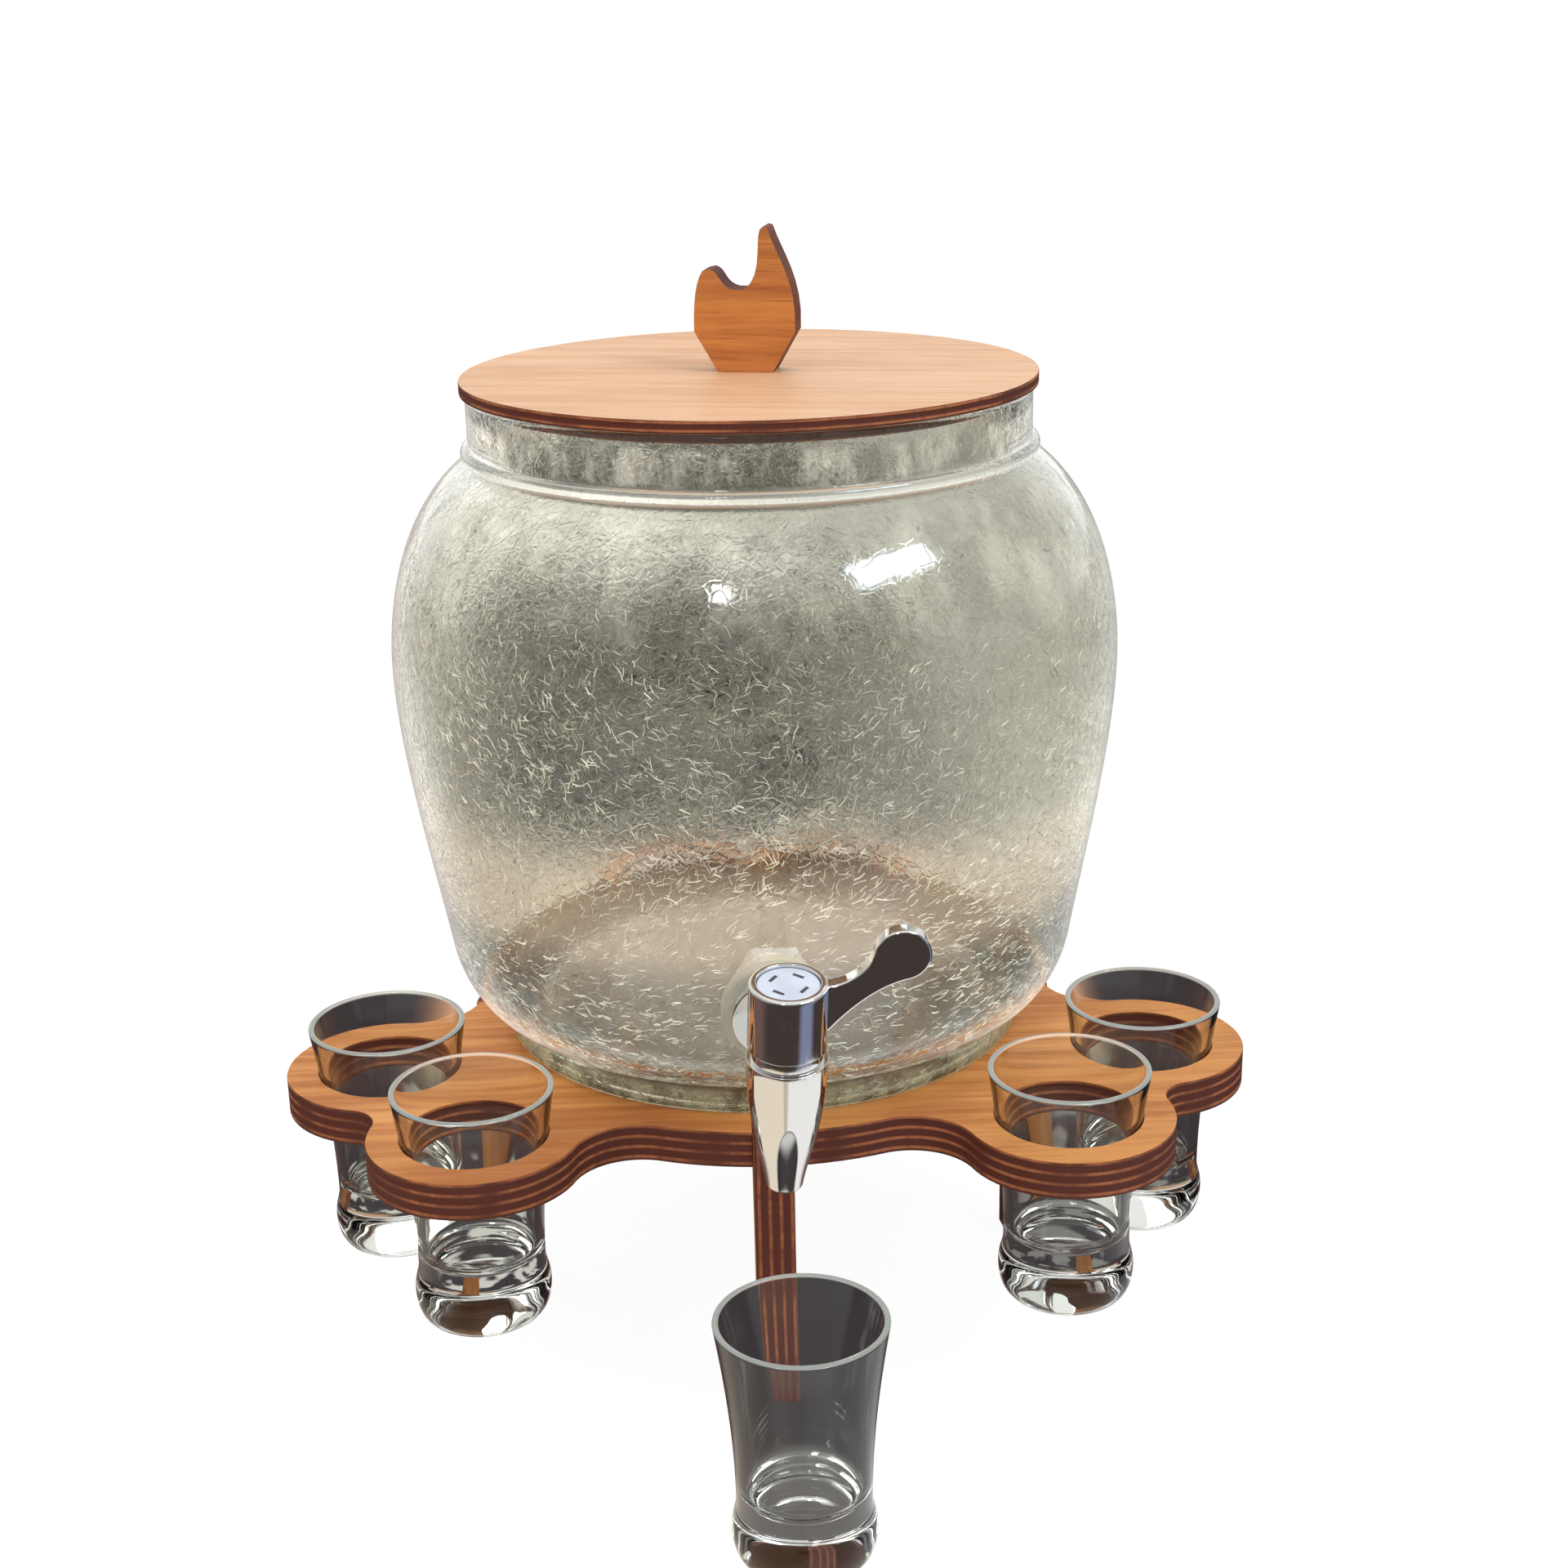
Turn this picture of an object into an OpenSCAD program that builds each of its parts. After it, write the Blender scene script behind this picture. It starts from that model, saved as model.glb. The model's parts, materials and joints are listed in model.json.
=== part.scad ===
// Drinks dispenser: a crackle-glass jar with a tap, on a plywood stand that holds shot glasses.
// Millimetres. +Z is up, the tap faces -Y, and the table is at z = 0.

/* [Stand] */
// Height of the stand, from the table to the top of its plate
stand_h = 98; // [90:1:130]
// Thickness of the plywood plate
plate_t = 12; // [9:0.5:15]
// Diameter of the round middle of the plate, which carries the jar
plate_d = 196; // [188:1:204]
// Distance from the jar's axis to the axis of each glass
lobe_reach = 129.5; // [128:0.5:136]
// Diameter of the lobe around each glass
lobe_d = 66; // [62:1:70]
// Diameter of the hole that a glass hangs in
hole_d = 46; // [44:0.5:48]
// Angle between the two glasses of a pair, in degrees
pair_angle = 26.5; // [26:0.5:29]
// Angle from the front to the middle of each front pair, in degrees
front_pair_angle = 58; // [54:1:62]
// Radius of the hollow curves between the lobes and the plate
lobe_fillet_r = 20; // [12:1:24]
// Radius of the hollow curve between the two lobes of a pair
pair_fillet_r = 10; // [6:1:14]
// Thickness of the plywood legs
leg_t = 12.5; // [9:0.5:15]
// Width of a leg just under the plate, measured towards the middle
leg_top_w = 44; // [36:1:60]
// Width of a leg at the table
leg_foot_w = 13; // [10:1:20]
// Height of the straight part of a leg above the table
leg_foot_h = 14; // [8:1:24]
// Depth of a leg's slot, measured from the plate's round edge
leg_slot_depth = 27; // [18:1:32]
// How far a leg stands out from the plate's edge
leg_proud = 1; // [0.5:0.5:3]
// Angle from the front to each side leg, in degrees
side_leg_angle = 98; // [94:1:112]

/* [Jar] */
// Height of the jar
jar_h = 212; // [206:1:224]
// Diameter of the jar's foot ring
foot_d = 173; // [164:1:178]
// Height of the foot ring
foot_h = 8; // [6:0.5:10]
// Depth of the groove above the foot ring
foot_groove = 1.7; // [1:0.1:2.5]
// Depth of the hollow under the jar
kick_h = 3; // [2:0.5:4]
// Diameter where the rounded heel meets the side
heel_d = 207; // [203:1:212]
// Height where the rounded heel meets the side
heel_z = 32; // [28:1:36]
// Diameter of the jar at its widest
belly_d = 234; // [228:1:240]
// Height where the jar is widest
belly_z = 127; // [118:1:136]
// Outer diameter of the neck
neck_d = 178; // [172:1:184]
// Height of the neck, from the end of the shoulder to the rim
neck_h = 21; // [18:1:26]
// Radius of the round bead at the root of the neck
bead_r = 2.4; // [1.5:0.1:3]
// Thickness of the glass wall
wall = 4; // [3:0.25:5]
// Thickness of the glass floor
floor_t = 9; // [7:0.5:11]

/* [Lid] */
// Thickness of the plywood lid disc
lid_t = 4; // [3:0.5:6]
// How far the lid disc stands out past the neck
lid_overhang = 1.7; // [0.5:0.1:4]
// Thickness of the locating disc under the lid
locating_t = 4; // [3:0.5:6]
// Radial play of the locating disc inside the neck
locating_play = 1.2; // [0.6:0.1:2.5]
// Width of the knob
knob_w = 32; // [28:0.5:38]
// Height of the knob above the lid
knob_h = 44.5; // [40:0.5:50]
// Thickness of the knob
knob_t = 11; // [9:0.5:14]
// Width of the knob's flat base
knob_base_w = 17.5; // [15:0.5:22]
// Height of the sloping sides above the knob's base
knob_slope_h = 12.5; // [10:0.5:15]
// Turn of the lid and its knob about the jar's axis, in degrees
lid_turn = -12; // [-30:1:30]
// Width of the tenon under the knob
tenon_w = 12; // [10:0.5:14]
// Diameter of the wood screw's shank
knob_screw_d = 4; // [3:0.5:5]
// Length of the wood screw
knob_screw_len = 22; // [16:1:28]

/* [Tap] */
// Height of the tap's hole above the jar's foot
tap_z = 45; // [38:1:48]
// Forward lean of the tap, in degrees
tap_lean = 9; // [0:1:12]
// Turn of the tap about its shank, in degrees
tap_roll = 1.5; // [-3:0.5:3]
// Turn of the jar and its tap away from the front leg, in degrees
jar_turn = 0.9; // [-3:0.1:3]
// Distance from the jar's wall to the axis of the valve
tap_reach = 50; // [46:1:56]
// Diameter of the threaded shank
shank_d = 15; // [13:0.5:16]
// Diameter of the water way through the shank
way_d = 7; // [5:0.5:8]
// Diameter of the flange behind the tap
flange_d = 27; // [25:1:30]
// Thickness of the flange
flange_t = 3; // [2:0.5:4]
// Diameter of the silicone ring outside the wall
outer_gasket_d = 33; // [31:1:36]
// Thickness of the outer silicone ring on the shank's axis
outer_gasket_t = 4.5; // [4:0.5:6]
// Diameter of the silicone ring inside the wall
inner_gasket_d = 28; // [27:1:30]
// Thickness of the inner silicone ring on the shank's axis
inner_gasket_t = 4.5; // [4:0.5:6]
// Width of the nut across its corners
nut_d = 26; // [23:1:28]
// Thickness of the nut
nut_t = 8; // [6:0.5:10]
// Diameter of the tap's body
body_d = 22.8; // [21.6:0.1:24]
// Height of the body's top above the shank's axis
body_top = 16.6; // [15.4:0.1:18]
// Length of the spout below the shank's axis
spout_drop = 26.5; // [24:0.5:30]
// Diameter of the spout at its tip
spout_tip_d = 10.5; // [9:0.5:12]
// Height of the collar that closes the body
collar_t = 3.4; // [2.6:0.1:4.2]
// Diameter of the collar
collar_d = 20.6; // [19.4:0.1:21.4]
// Diameter of the turning barrel
barrel_d = 22; // [21.5:0.1:25]
// Height of the turning barrel
barrel_h = 20.1; // [18.5:0.1:24]
// Diameter of the cap in the top of the barrel
cap_d = 17.5; // [16:0.5:19]
// Thickness of the cap
cap_t = 2.2; // [1.5:0.1:3]
// Diameter of the valve plug
plug_d = 13.6; // [12.6:0.1:14.4]
// Length of the plug below the shank's axis
plug_drop = 7.7; // [7.2:0.1:8.2]
// Width of the plug's six-sided drive across its corners
drive_d = 9.2; // [8:0.2:10]
// Thickness of the rubber rings on the plug
ring_t = 1.6; // [1.2:0.1:2]
// Diameter of the screw that holds the barrel on the plug
plug_screw_d = 3.8; // [3:0.2:4.2]
// Length of the lever, from the valve's axis to the middle of its round end
lever_reach = 30.5; // [28:0.5:38]
// Rise of the lever's round end above the barrel's top
lever_rise = 8.8; // [5:0.2:11]
// Diameter of the lever's round end
lever_end_d = 15.4; // [13:0.2:18]
// Thickness of the lever
lever_t = 4.8; // [3.5:0.1:6]
// Height of the lever where it leaves the barrel
lever_root_h = 14.4; // [11:0.2:16]

/* [Glasses] */
// Height of a shot glass
glass_h = 77; // [70:1:84]
// Diameter of a glass at its rim
rim_d = 50; // [49:0.5:54]
// Diameter of the waist above the thick base
waist_d = 39.2; // [37:0.2:41]
// Height of the waist
waist_z = 19.5; // [17:0.5:22]
// Diameter of the rounded base at its widest
bulge_d = 42.2; // [40:0.2:43]
// Height of the widest part of the base
bulge_z = 10; // [8:0.5:12]
// Diameter of the flat under a glass
base_d = 33; // [30:0.5:36]
// Thickness of the solid base
base_t = 18; // [14:0.5:20]
// Thickness of the wall at the rim
rim_t = 1.8; // [1.4:0.1:2.4]
// Thickness of the wall just above the base
low_wall_t = 2.8; // [2.4:0.1:3.4]
// How far the glass on the table stands forward of the spout
front_glass_forward = 19; // [0:1:24]
// How far the glass on the table stands to the right of the spout
front_glass_right = 3.3; // [-10:0.1:10]

/* [Fits] */
// Gap between a hanging glass and the edge of its hole
seat_gap = 0.3; // [0.2:0.05:0.6]
// Gap on each side of a leg in its slot
leg_fit = 0.1; // [0.05:0.05:0.3]
// How far a leg's top lies under the plate's top
leg_sunk = 0.2; // [0:0.1:0.6]
// Gap between the silicone rings and the glass
seal_gap = 0.1; // [0.05:0.05:0.2]
// Gap around the shank in the glass
shank_gap = 0.8; // [0.5:0.1:1.5]
// Gap around threads, screws and glued-in pieces
fixed_gap = 0.1; // [0.05:0.05:0.2]
// Gap between the turning pieces and the tap's body
turning_gap = 0.2; // [0.15:0.05:0.3]

/* [Hidden] */
$fn = 96;
curve_steps = 8;
small = 0.01;
cut_over = 1;
curve_overlap = 0.05;

wood_face = [0.80, 0.52, 0.29];
wood_edge = [0.36, 0.17, 0.11];
lid_wood = [0.92, 0.70, 0.48];
knob_wood = [0.80, 0.47, 0.24];
crackle_glass = [0.66, 0.64, 0.55, 0.55];
clear_glass = [0.86, 0.89, 0.88, 0.4];
chrome = [0.78, 0.78, 0.80];
silicone = [0.86, 0.84, 0.76];
dark_rubber = [0.12, 0.12, 0.12];
white_plastic = [0.92, 0.92, 0.94];

// A smooth curve from p[0] to p[3] that leaves and arrives along its two handles
function bezier(p, n = curve_steps) = [
    for (i = [0 : n])
        let (t = i / n, u = 1 - t)
        u * u * u * p[0] + 3 * u * u * t * p[1] + 3 * u * t * t * p[2] + t * t * t * p[3]
];
// The curve without its first point, to follow another one
function onward(points) = [for (i = [1 : len(points) - 1]) points[i]];
// The direction square to a run of points, on its right-hand side
function normal_at(p, i) =
    let (a = p[max(i - 1, 0)], b = p[min(i + 1, len(p) - 1)], d = b - a)
    [d[1], -d[0]] / norm(d);
// The same run of points, moved sideways by d
function beside(p, d) = [for (i = [0 : len(p) - 1]) p[i] + d * normal_at(p, i)];
// The point at distance ra from a and rb from b, on the right of the line from a to b
function meeting(a, ra, b, rb) =
    let (
        d = norm(b - a),
        along = (d * d + ra * ra - rb * rb) / (2 * d),
        e = (b - a) / d
    )
    a + along * e + sqrt(ra * ra - along * along) * [e[1], -e[0]];
// A point at distance r from the middle, at an angle from the front
function polar(r, angle) = [r * sin(angle), -r * cos(angle)];

// Stand
plate_r = plate_d / 2;
lobe_r = lobe_d / 2;
pair_middles = [front_pair_angle, 180, -front_pair_angle];
leg_angles = [0, side_leg_angle, 180, -side_leg_angle];
leg_outer_r = plate_r + leg_proud;
slot_end_r = plate_r - leg_slot_depth;
plate_under = stand_h - plate_t;

// Jar, measured from its own foot
neck_r = neck_d / 2;
neck_inner_r = neck_r - wall;
neck_z = jar_h - neck_h;
foot_r = foot_d / 2;
heel_start = [foot_r - foot_groove, foot_h + foot_groove];
heel_end = [heel_d / 2, heel_z];
belly = [belly_d / 2, belly_z];
shoulder_end = [neck_r + bead_r / 2, neck_z];
heel_pull = [11, 1];
heel_lift = 9;
side_pull = [5.5, 32];
belly_pull_down = 27;
belly_pull_up = 18;
shoulder_pull = [22, -15];
jar_side = concat(
    bezier([
        heel_start,
        heel_start + heel_pull,
        heel_end - heel_lift * side_pull / norm(side_pull),
        heel_end
    ]),
    onward(bezier([heel_end, heel_end + side_pull, belly - [0, belly_pull_down], belly])),
    onward(bezier([belly, belly + [0, belly_pull_up], shoulder_end + shoulder_pull, shoulder_end]))
);
foot_round = 1.5;
kick_r = foot_r - 3 * wall;
rim_round = wall / 4;
bead_z = neck_z + bead_r;
wall_r = lookup(tap_z, [for (p = jar_side) [p[1], p[0]]]);

// Tap, measured from the point where its shank's axis meets the wall, with -Y along the shank
wall_slant = 1.03;
wall_along = wall * wall_slant;
shank_tail = 3;
shank_end = wall_along + inner_gasket_t + nut_t + shank_tail;
plug_bottom = -plug_drop;
plug_ledge = plug_bottom - turning_gap - fixed_gap;
plug_top = body_top - turning_gap;
plug_bore_d = plug_d + 2 * turning_gap;
collar_top = body_top + collar_t;
barrel_bottom = collar_top + turning_gap + fixed_gap;
barrel_top = barrel_bottom + barrel_h;
cap_sunk = 0.8;
cap_seat = barrel_top - cap_t - cap_sunk;
screw_head_t = 2.6;
screw_head_d = 2 * plug_screw_d;
screw_room_play = 2;
screw_room_d = screw_head_d + 2 * screw_room_play;
screw_room_h = 5.4;
web_t = 4;
web_top = cap_seat - screw_room_h;
drive_top = web_top - web_t - fixed_gap;
screw_hole_depth = 11;
screw_tip_gap = 1;
low_ring_inset = 2.2;
high_ring_inset = 4.6;
ring_groove_z = [plug_bottom + low_ring_inset, plug_top - high_ring_inset];

// Glasses, measured from their own base
glass_flare = bezier([
    [waist_d / 2, waist_z],
    [waist_d / 2, waist_z + (glass_h - waist_z) / 3],
    [waist_d / 2 + 0.44 * (rim_d - waist_d) / 2, waist_z + 2 * (glass_h - waist_z) / 3],
    [rim_d / 2, glass_h]
], 2 * curve_steps);
glass_seat_h = lookup(hole_d / 2 - seat_gap, [for (p = glass_flare) [p[0], p[1]]]);
hanging_z = stand_h - glass_seat_h;

// The middle of the whole set's outline stands over the origin
tip_across = -spout_drop * sin(tap_roll);
tip_along = -wall_r - tap_reach * cos(tap_lean) + spout_drop * cos(tap_roll) * sin(tap_lean);
spout_tip = [
    tip_across * cos(jar_turn) - tip_along * sin(jar_turn),
    tip_across * sin(jar_turn) + tip_along * cos(jar_turn)
];
front_glass = spout_tip + [front_glass_right, -front_glass_forward];
set_front = front_glass[1] - rim_d / 2;
set_back = lobe_reach * cos(pair_angle / 2) + lobe_r;
jar_y = -(set_front + set_back) / 2;

// The jar's axis, at the height of the table
module on_jar_axis() {
    translate([0, jar_y, 0]) children();
}

// The jar's foot, on top of the plate
module on_plate() {
    on_jar_axis() translate([0, 0, stand_h]) children();
}

// The point where the tap's shank meets the outside of the wall
module at_tap() {
    on_plate() rotate([0, 0, jar_turn]) translate([0, -wall_r, tap_z])
        rotate([tap_lean, 0, 0]) rotate([0, tap_roll, 0]) children();
}

// A bar along the tap's shank, from y0 to y1
module along_shank(y0, y1, d) {
    translate([0, y0, 0]) rotate([-90, 0, 0]) cylinder(h = y1 - y0, d = d);
}

// A bar along the valve's axis, from z0 to z1
module along_valve(z0, z1, d) {
    translate([0, -tap_reach, z0]) cylinder(h = z1 - z0, d = d);
}

// Fills the corner between two discs of the plate with a hollow curve of radius f
module hollow_corner(a, ra, b, rb, f) {
    c = meeting(a, ra + f - curve_overlap, b, rb + f - curve_overlap);
    difference() {
        linear_extrude(plate_t) polygon([a, b, c]);
        translate(concat(c, -cut_over)) cylinder(h = plate_t + 2 * cut_over, r = f);
    }
}

// Two lobes, with hollow curves to the plate and to each other
module lobe_pair(middle) {
    left = polar(lobe_reach, middle - pair_angle / 2);
    right = polar(lobe_reach, middle + pair_angle / 2);
    linear_extrude(plate_t) polygon([[0, 0], left, right]);
    for (c = [left, right]) {
        translate(c) cylinder(h = plate_t, r = lobe_r);
    }
    hollow_corner(right, lobe_r, [0, 0], plate_r, lobe_fillet_r);
    hollow_corner([0, 0], plate_r, left, lobe_r, lobe_fillet_r);
    hollow_corner(left, lobe_r, right, lobe_r, pair_fillet_r);
}

module stand_plate() {
    color(wood_face) on_jar_axis() translate([0, 0, plate_under]) difference() {
        union() {
            cylinder(h = plate_t, r = plate_r);
            for (middle = pair_middles) {
                lobe_pair(middle);
            }
        }
        for (middle = pair_middles, side = [-1, 1]) {
            translate(concat(polar(lobe_reach, middle + side * pair_angle / 2), -cut_over))
                cylinder(h = plate_t + 2 * cut_over, d = hole_d);
        }
        for (angle = leg_angles) {
            rotate(angle) translate([-leg_t / 2 - leg_fit, -leg_outer_r - leg_fit, -cut_over])
                cube([
                    leg_t + 2 * leg_fit,
                    leg_outer_r + leg_fit - slot_end_r,
                    plate_t + 2 * cut_over
                ]);
        }
    }
}

// A plywood fin whose outer edge fills a slot in the plate and runs down to the table
module leg(angle) {
    leg_top = stand_h - leg_sunk;
    tenon_r = slot_end_r + leg_fit;
    top_r = leg_outer_r - leg_top_w;
    foot_edge_r = leg_outer_r - leg_foot_w;
    inner_edge = bezier([
        [top_r, plate_under],
        [(top_r + foot_edge_r) / 2, plate_under],
        [foot_edge_r, (plate_under + leg_foot_h) / 2],
        [foot_edge_r, leg_foot_h]
    ]);
    color(wood_edge) on_jar_axis() rotate(angle - 90) translate([0, leg_t / 2, 0]) rotate([90, 0, 0])
        linear_extrude(leg_t) polygon(concat(
            [[foot_edge_r, 0], [leg_outer_r, 0], [leg_outer_r, leg_top], [tenon_r, leg_top]],
            [[tenon_r, plate_under]],
            inner_edge
        ));
}

// The solid inside the jar's outer skin, grown or shrunk by d
module jar_skin(d) {
    side = beside(jar_side, d);
    rotate_extrude() polygon(concat([[0, heel_start[1]]], side, [[0, neck_z]]));
}

module jar() {
    outside = concat(
        [[0, kick_h], [kick_r, kick_h], [kick_r + kick_h, 0], [foot_r - foot_round, 0]],
        [[foot_r, foot_round], [foot_r, foot_h - foot_round / 2], [foot_r - foot_groove, foot_h]],
        jar_side,
        [for (a = [-30 : 30 : 90]) [neck_r + bead_r * cos(a), bead_z + bead_r * sin(a)]],
        [[neck_r, jar_h - rim_round], [neck_r - rim_round, jar_h], [0, jar_h]]
    );
    inner_side = [for (p = beside(jar_side, -wall)) if (p[1] < belly_z || p[0] > neck_inner_r) p];
    inner_heel = [inner_side[0][0] - wall, floor_t];
    inside = concat(
        [[0, floor_t], inner_heel],
        inner_side,
        [[neck_inner_r, bead_z], [neck_inner_r, jar_h - rim_round]],
        [[neck_inner_r + rim_round, jar_h], [neck_inner_r + rim_round, jar_h + cut_over]],
        [[0, jar_h + cut_over]]
    );
    color(crackle_glass) difference() {
        on_plate() rotate_extrude() difference() {
            polygon(outside);
            polygon(inside);
        }
        at_tap() along_shank(-flange_d, flange_d, shank_d + 2 * shank_gap);
    }
}

// The top of the jar's rim, turned as the lid lies
module on_rim() {
    on_plate() translate([0, 0, jar_h]) rotate(lid_turn) children();
}

module lid_top_disc() {
    color(lid_wood) on_rim() difference() {
        cylinder(h = lid_t, r = neck_r + lid_overhang);
        translate([-tenon_w / 2 - fixed_gap, -knob_t / 2 - fixed_gap, -cut_over])
            cube([tenon_w + 2 * fixed_gap, knob_t + 2 * fixed_gap, lid_t + 2 * cut_over]);
    }
}

module lid_locating_disc() {
    color(wood_edge) on_rim() translate([0, 0, -locating_t]) difference() {
        cylinder(h = locating_t, r = neck_inner_r - locating_play);
        translate([0, 0, -cut_over])
            cylinder(h = locating_t + 2 * cut_over, d = knob_screw_d + 2 * fixed_gap);
        translate([0, 0, -small]) cylinder(
            h = knob_screw_d / 2 + small,
            d1 = 2 * knob_screw_d + 2 * fixed_gap,
            d2 = knob_screw_d + 2 * fixed_gap
        );
    }
}

// A flat knob with a low horn on the left, a tall horn on the right and a hollow between them
module lid_knob() {
    half = knob_w / 2;
    low_tip = [-0.72 * half, 0.71 * knob_h];
    dip = [-0.14 * half, 0.57 * knob_h];
    tall_tip = [0.40 * half, knob_h];
    outline = concat(
        [[-knob_base_w / 2, 0], [knob_base_w / 2, 0]],
        bezier([
            [half, knob_slope_h],
            [half + 1, knob_slope_h + 0.35 * knob_h],
            tall_tip + [0.25 * half, -0.2 * knob_h],
            tall_tip + [0.08 * half, -0.01 * knob_h]
        ]),
        bezier([
            tall_tip,
            tall_tip + [-0.22 * half, -0.03 * knob_h],
            tall_tip + [0.05 * half, -0.33 * knob_h],
            dip + [0.14 * half, 0]
        ]),
        bezier([
            dip + [-0.04 * half, 0],
            dip + [-0.36 * half, 0.02 * knob_h],
            low_tip + [0.28 * half, -0.02 * knob_h],
            low_tip + [0.06 * half, 0]
        ]),
        bezier([
            low_tip + [-0.08 * half, -0.01 * knob_h],
            low_tip + [-0.22 * half, -0.08 * knob_h],
            [-half, knob_slope_h + 0.22 * knob_h],
            [-half, knob_slope_h]
        ])
    );
    color(knob_wood) on_rim() difference() {
        translate([0, knob_t / 2, 0]) rotate([90, 0, 0]) linear_extrude(knob_t) {
            translate([0, lid_t]) polygon(outline);
            translate([-tenon_w / 2, 0]) square([tenon_w, lid_t + small]);
        }
        translate([0, 0, -cut_over]) cylinder(
            h = knob_screw_len - locating_t + cut_over + fixed_gap,
            d = knob_screw_d + 2 * fixed_gap
        );
    }
}

module lid_knob_screw() {
    color(chrome) on_rim() translate([0, 0, -locating_t]) union() {
        cylinder(h = knob_screw_len, d = knob_screw_d);
        cylinder(h = knob_screw_d / 2, d1 = 2 * knob_screw_d, d2 = knob_screw_d);
    }
}

module tap_body() {
    body_r = body_d / 2;
    tip_r = spout_tip_d / 2;
    spout_side = bezier([
        [tip_r, -spout_drop],
        [tip_r + 0.2 * (body_r - tip_r), -0.64 * spout_drop],
        [tip_r + 0.925 * (body_r - tip_r), -0.19 * spout_drop],
        [body_r, 0.85 * body_top]
    ]);
    color(chrome) at_tap() difference() {
        union() {
            translate([0, -tap_reach, 0]) rotate_extrude()
                polygon(concat([[0, -spout_drop]], spout_side, [[body_r, body_top], [0, body_top]]));
            along_shank(-tap_reach, shank_end, shank_d);
            along_shank(-outer_gasket_t - flange_t, -outer_gasket_t, flange_d);
        }
        along_valve(plug_ledge, body_top + cut_over, plug_bore_d);
        along_valve(-spout_drop - cut_over, plug_ledge + cut_over, way_d);
        along_shank(-tap_reach, shank_end + cut_over, way_d);
    }
}

module tap_collar() {
    color(chrome) at_tap() difference() {
        along_valve(body_top, collar_top, collar_d);
        along_valve(body_top - cut_over, collar_top + cut_over, drive_d + 2 * turning_gap);
    }
}

module tap_outer_gasket() {
    color(silicone) difference() {
        at_tap() difference() {
            along_shank(-outer_gasket_t, outer_gasket_d / 4, outer_gasket_d);
            along_shank(-outer_gasket_t - cut_over, outer_gasket_d, shank_d + 2 * fixed_gap);
        }
        on_plate() jar_skin(seal_gap);
    }
}

module tap_inner_gasket() {
    face = wall_along + inner_gasket_t;
    color(silicone) intersection() {
        at_tap() difference() {
            along_shank(-wall, face, inner_gasket_d);
            along_shank(-wall - cut_over, face + cut_over, shank_d + 2 * fixed_gap);
        }
        on_plate() jar_skin(-wall - seal_gap);
    }
}

module tap_nut() {
    face = wall_along + inner_gasket_t;
    washer_t = nut_t / 4;
    color(white_plastic) at_tap() difference() {
        union() {
            along_shank(face, face + washer_t, nut_d);
            translate([0, face, 0]) rotate([-90, 0, 0]) cylinder(h = nut_t, d = nut_d, $fn = 6);
        }
        along_shank(face - cut_over, face + nut_t + cut_over, shank_d + 2 * fixed_gap);
    }
}

// The flat lever, drawn in the plane through the valve's axis
module lever_outline() {
    root = barrel_d / 4;
    root_drop = 0.4;
    under_pull = [5.6, 7];
    over_pull = [6, 0.9];
    root_top = barrel_top - root_drop;
    root_bottom = root_top - lever_root_h;
    end = [lever_reach, barrel_top + lever_rise];
    end_r = lever_end_d / 2;
    under = bezier([
        [barrel_d / 2, root_bottom],
        [barrel_d / 2, root_bottom] + under_pull,
        end + [-0.8 * end_r, -1.2 * end_r],
        end + [0.3 * end_r, -0.95 * end_r]
    ]);
    over = bezier([
        end + [-0.98 * end_r, 0.2 * end_r],
        end + [-1.1 * end_r, -0.5 * end_r],
        [barrel_d / 2, root_top] + over_pull,
        [barrel_d / 2, root_top]
    ]);
    polygon(concat([[root, root_bottom]], under, over, [[root, root_top]]));
    translate(end) circle(r = end_r);
}

module tap_barrel() {
    color(chrome) at_tap() difference() {
        union() {
            along_valve(barrel_bottom, barrel_top, barrel_d);
            translate([0, -tap_reach + lever_t / 2, 0]) rotate([90, 0, 0])
                linear_extrude(lever_t) lever_outline();
        }
        along_valve(cap_seat, barrel_top + lever_rise + lever_end_d, cap_d + 2 * fixed_gap);
        along_valve(web_top, cap_seat + cut_over, screw_room_d);
        along_valve(web_top - web_t - cut_over, web_top + cut_over, plug_screw_d + 2 * fixed_gap);
        translate([0, -tap_reach, barrel_bottom - cut_over]) cylinder(
            h = web_top - web_t - barrel_bottom + cut_over,
            d = drive_d + 2 * fixed_gap,
            $fn = 6
        );
    }
}

module tap_cap() {
    color(white_plastic) at_tap() along_valve(cap_seat, cap_seat + cap_t, cap_d);
}

module tap_plug() {
    color(white_plastic) at_tap() difference() {
        union() {
            along_valve(plug_bottom, plug_top, plug_d);
            translate([0, -tap_reach, plug_top - cut_over])
                cylinder(h = drive_top - plug_top + cut_over, d = drive_d, $fn = 6);
        }
        for (z = ring_groove_z) {
            difference() {
                along_valve(z - ring_t / 2 - fixed_gap, z + ring_t / 2 + fixed_gap, plug_d + cut_over);
                along_valve(z - ring_t, z + ring_t, plug_d - 2 * ring_t);
            }
        }
        along_valve(plug_bottom - cut_over, way_d / 2, way_d);
        translate([-plug_d, -tap_reach, 0]) rotate([0, 90, 0]) cylinder(h = plug_d, d = way_d);
        along_valve(drive_top - screw_hole_depth, drive_top + cut_over, plug_screw_d + 2 * fixed_gap);
    }
}

module tap_plug_rings() {
    ring_r = plug_bore_d / 2 - turning_gap / 4 - ring_t / 2;
    color(dark_rubber) at_tap() for (z = ring_groove_z) {
        translate([0, -tap_reach, z]) rotate_extrude() translate([ring_r, 0]) circle(d = ring_t, $fn = 32);
    }
}

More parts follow.
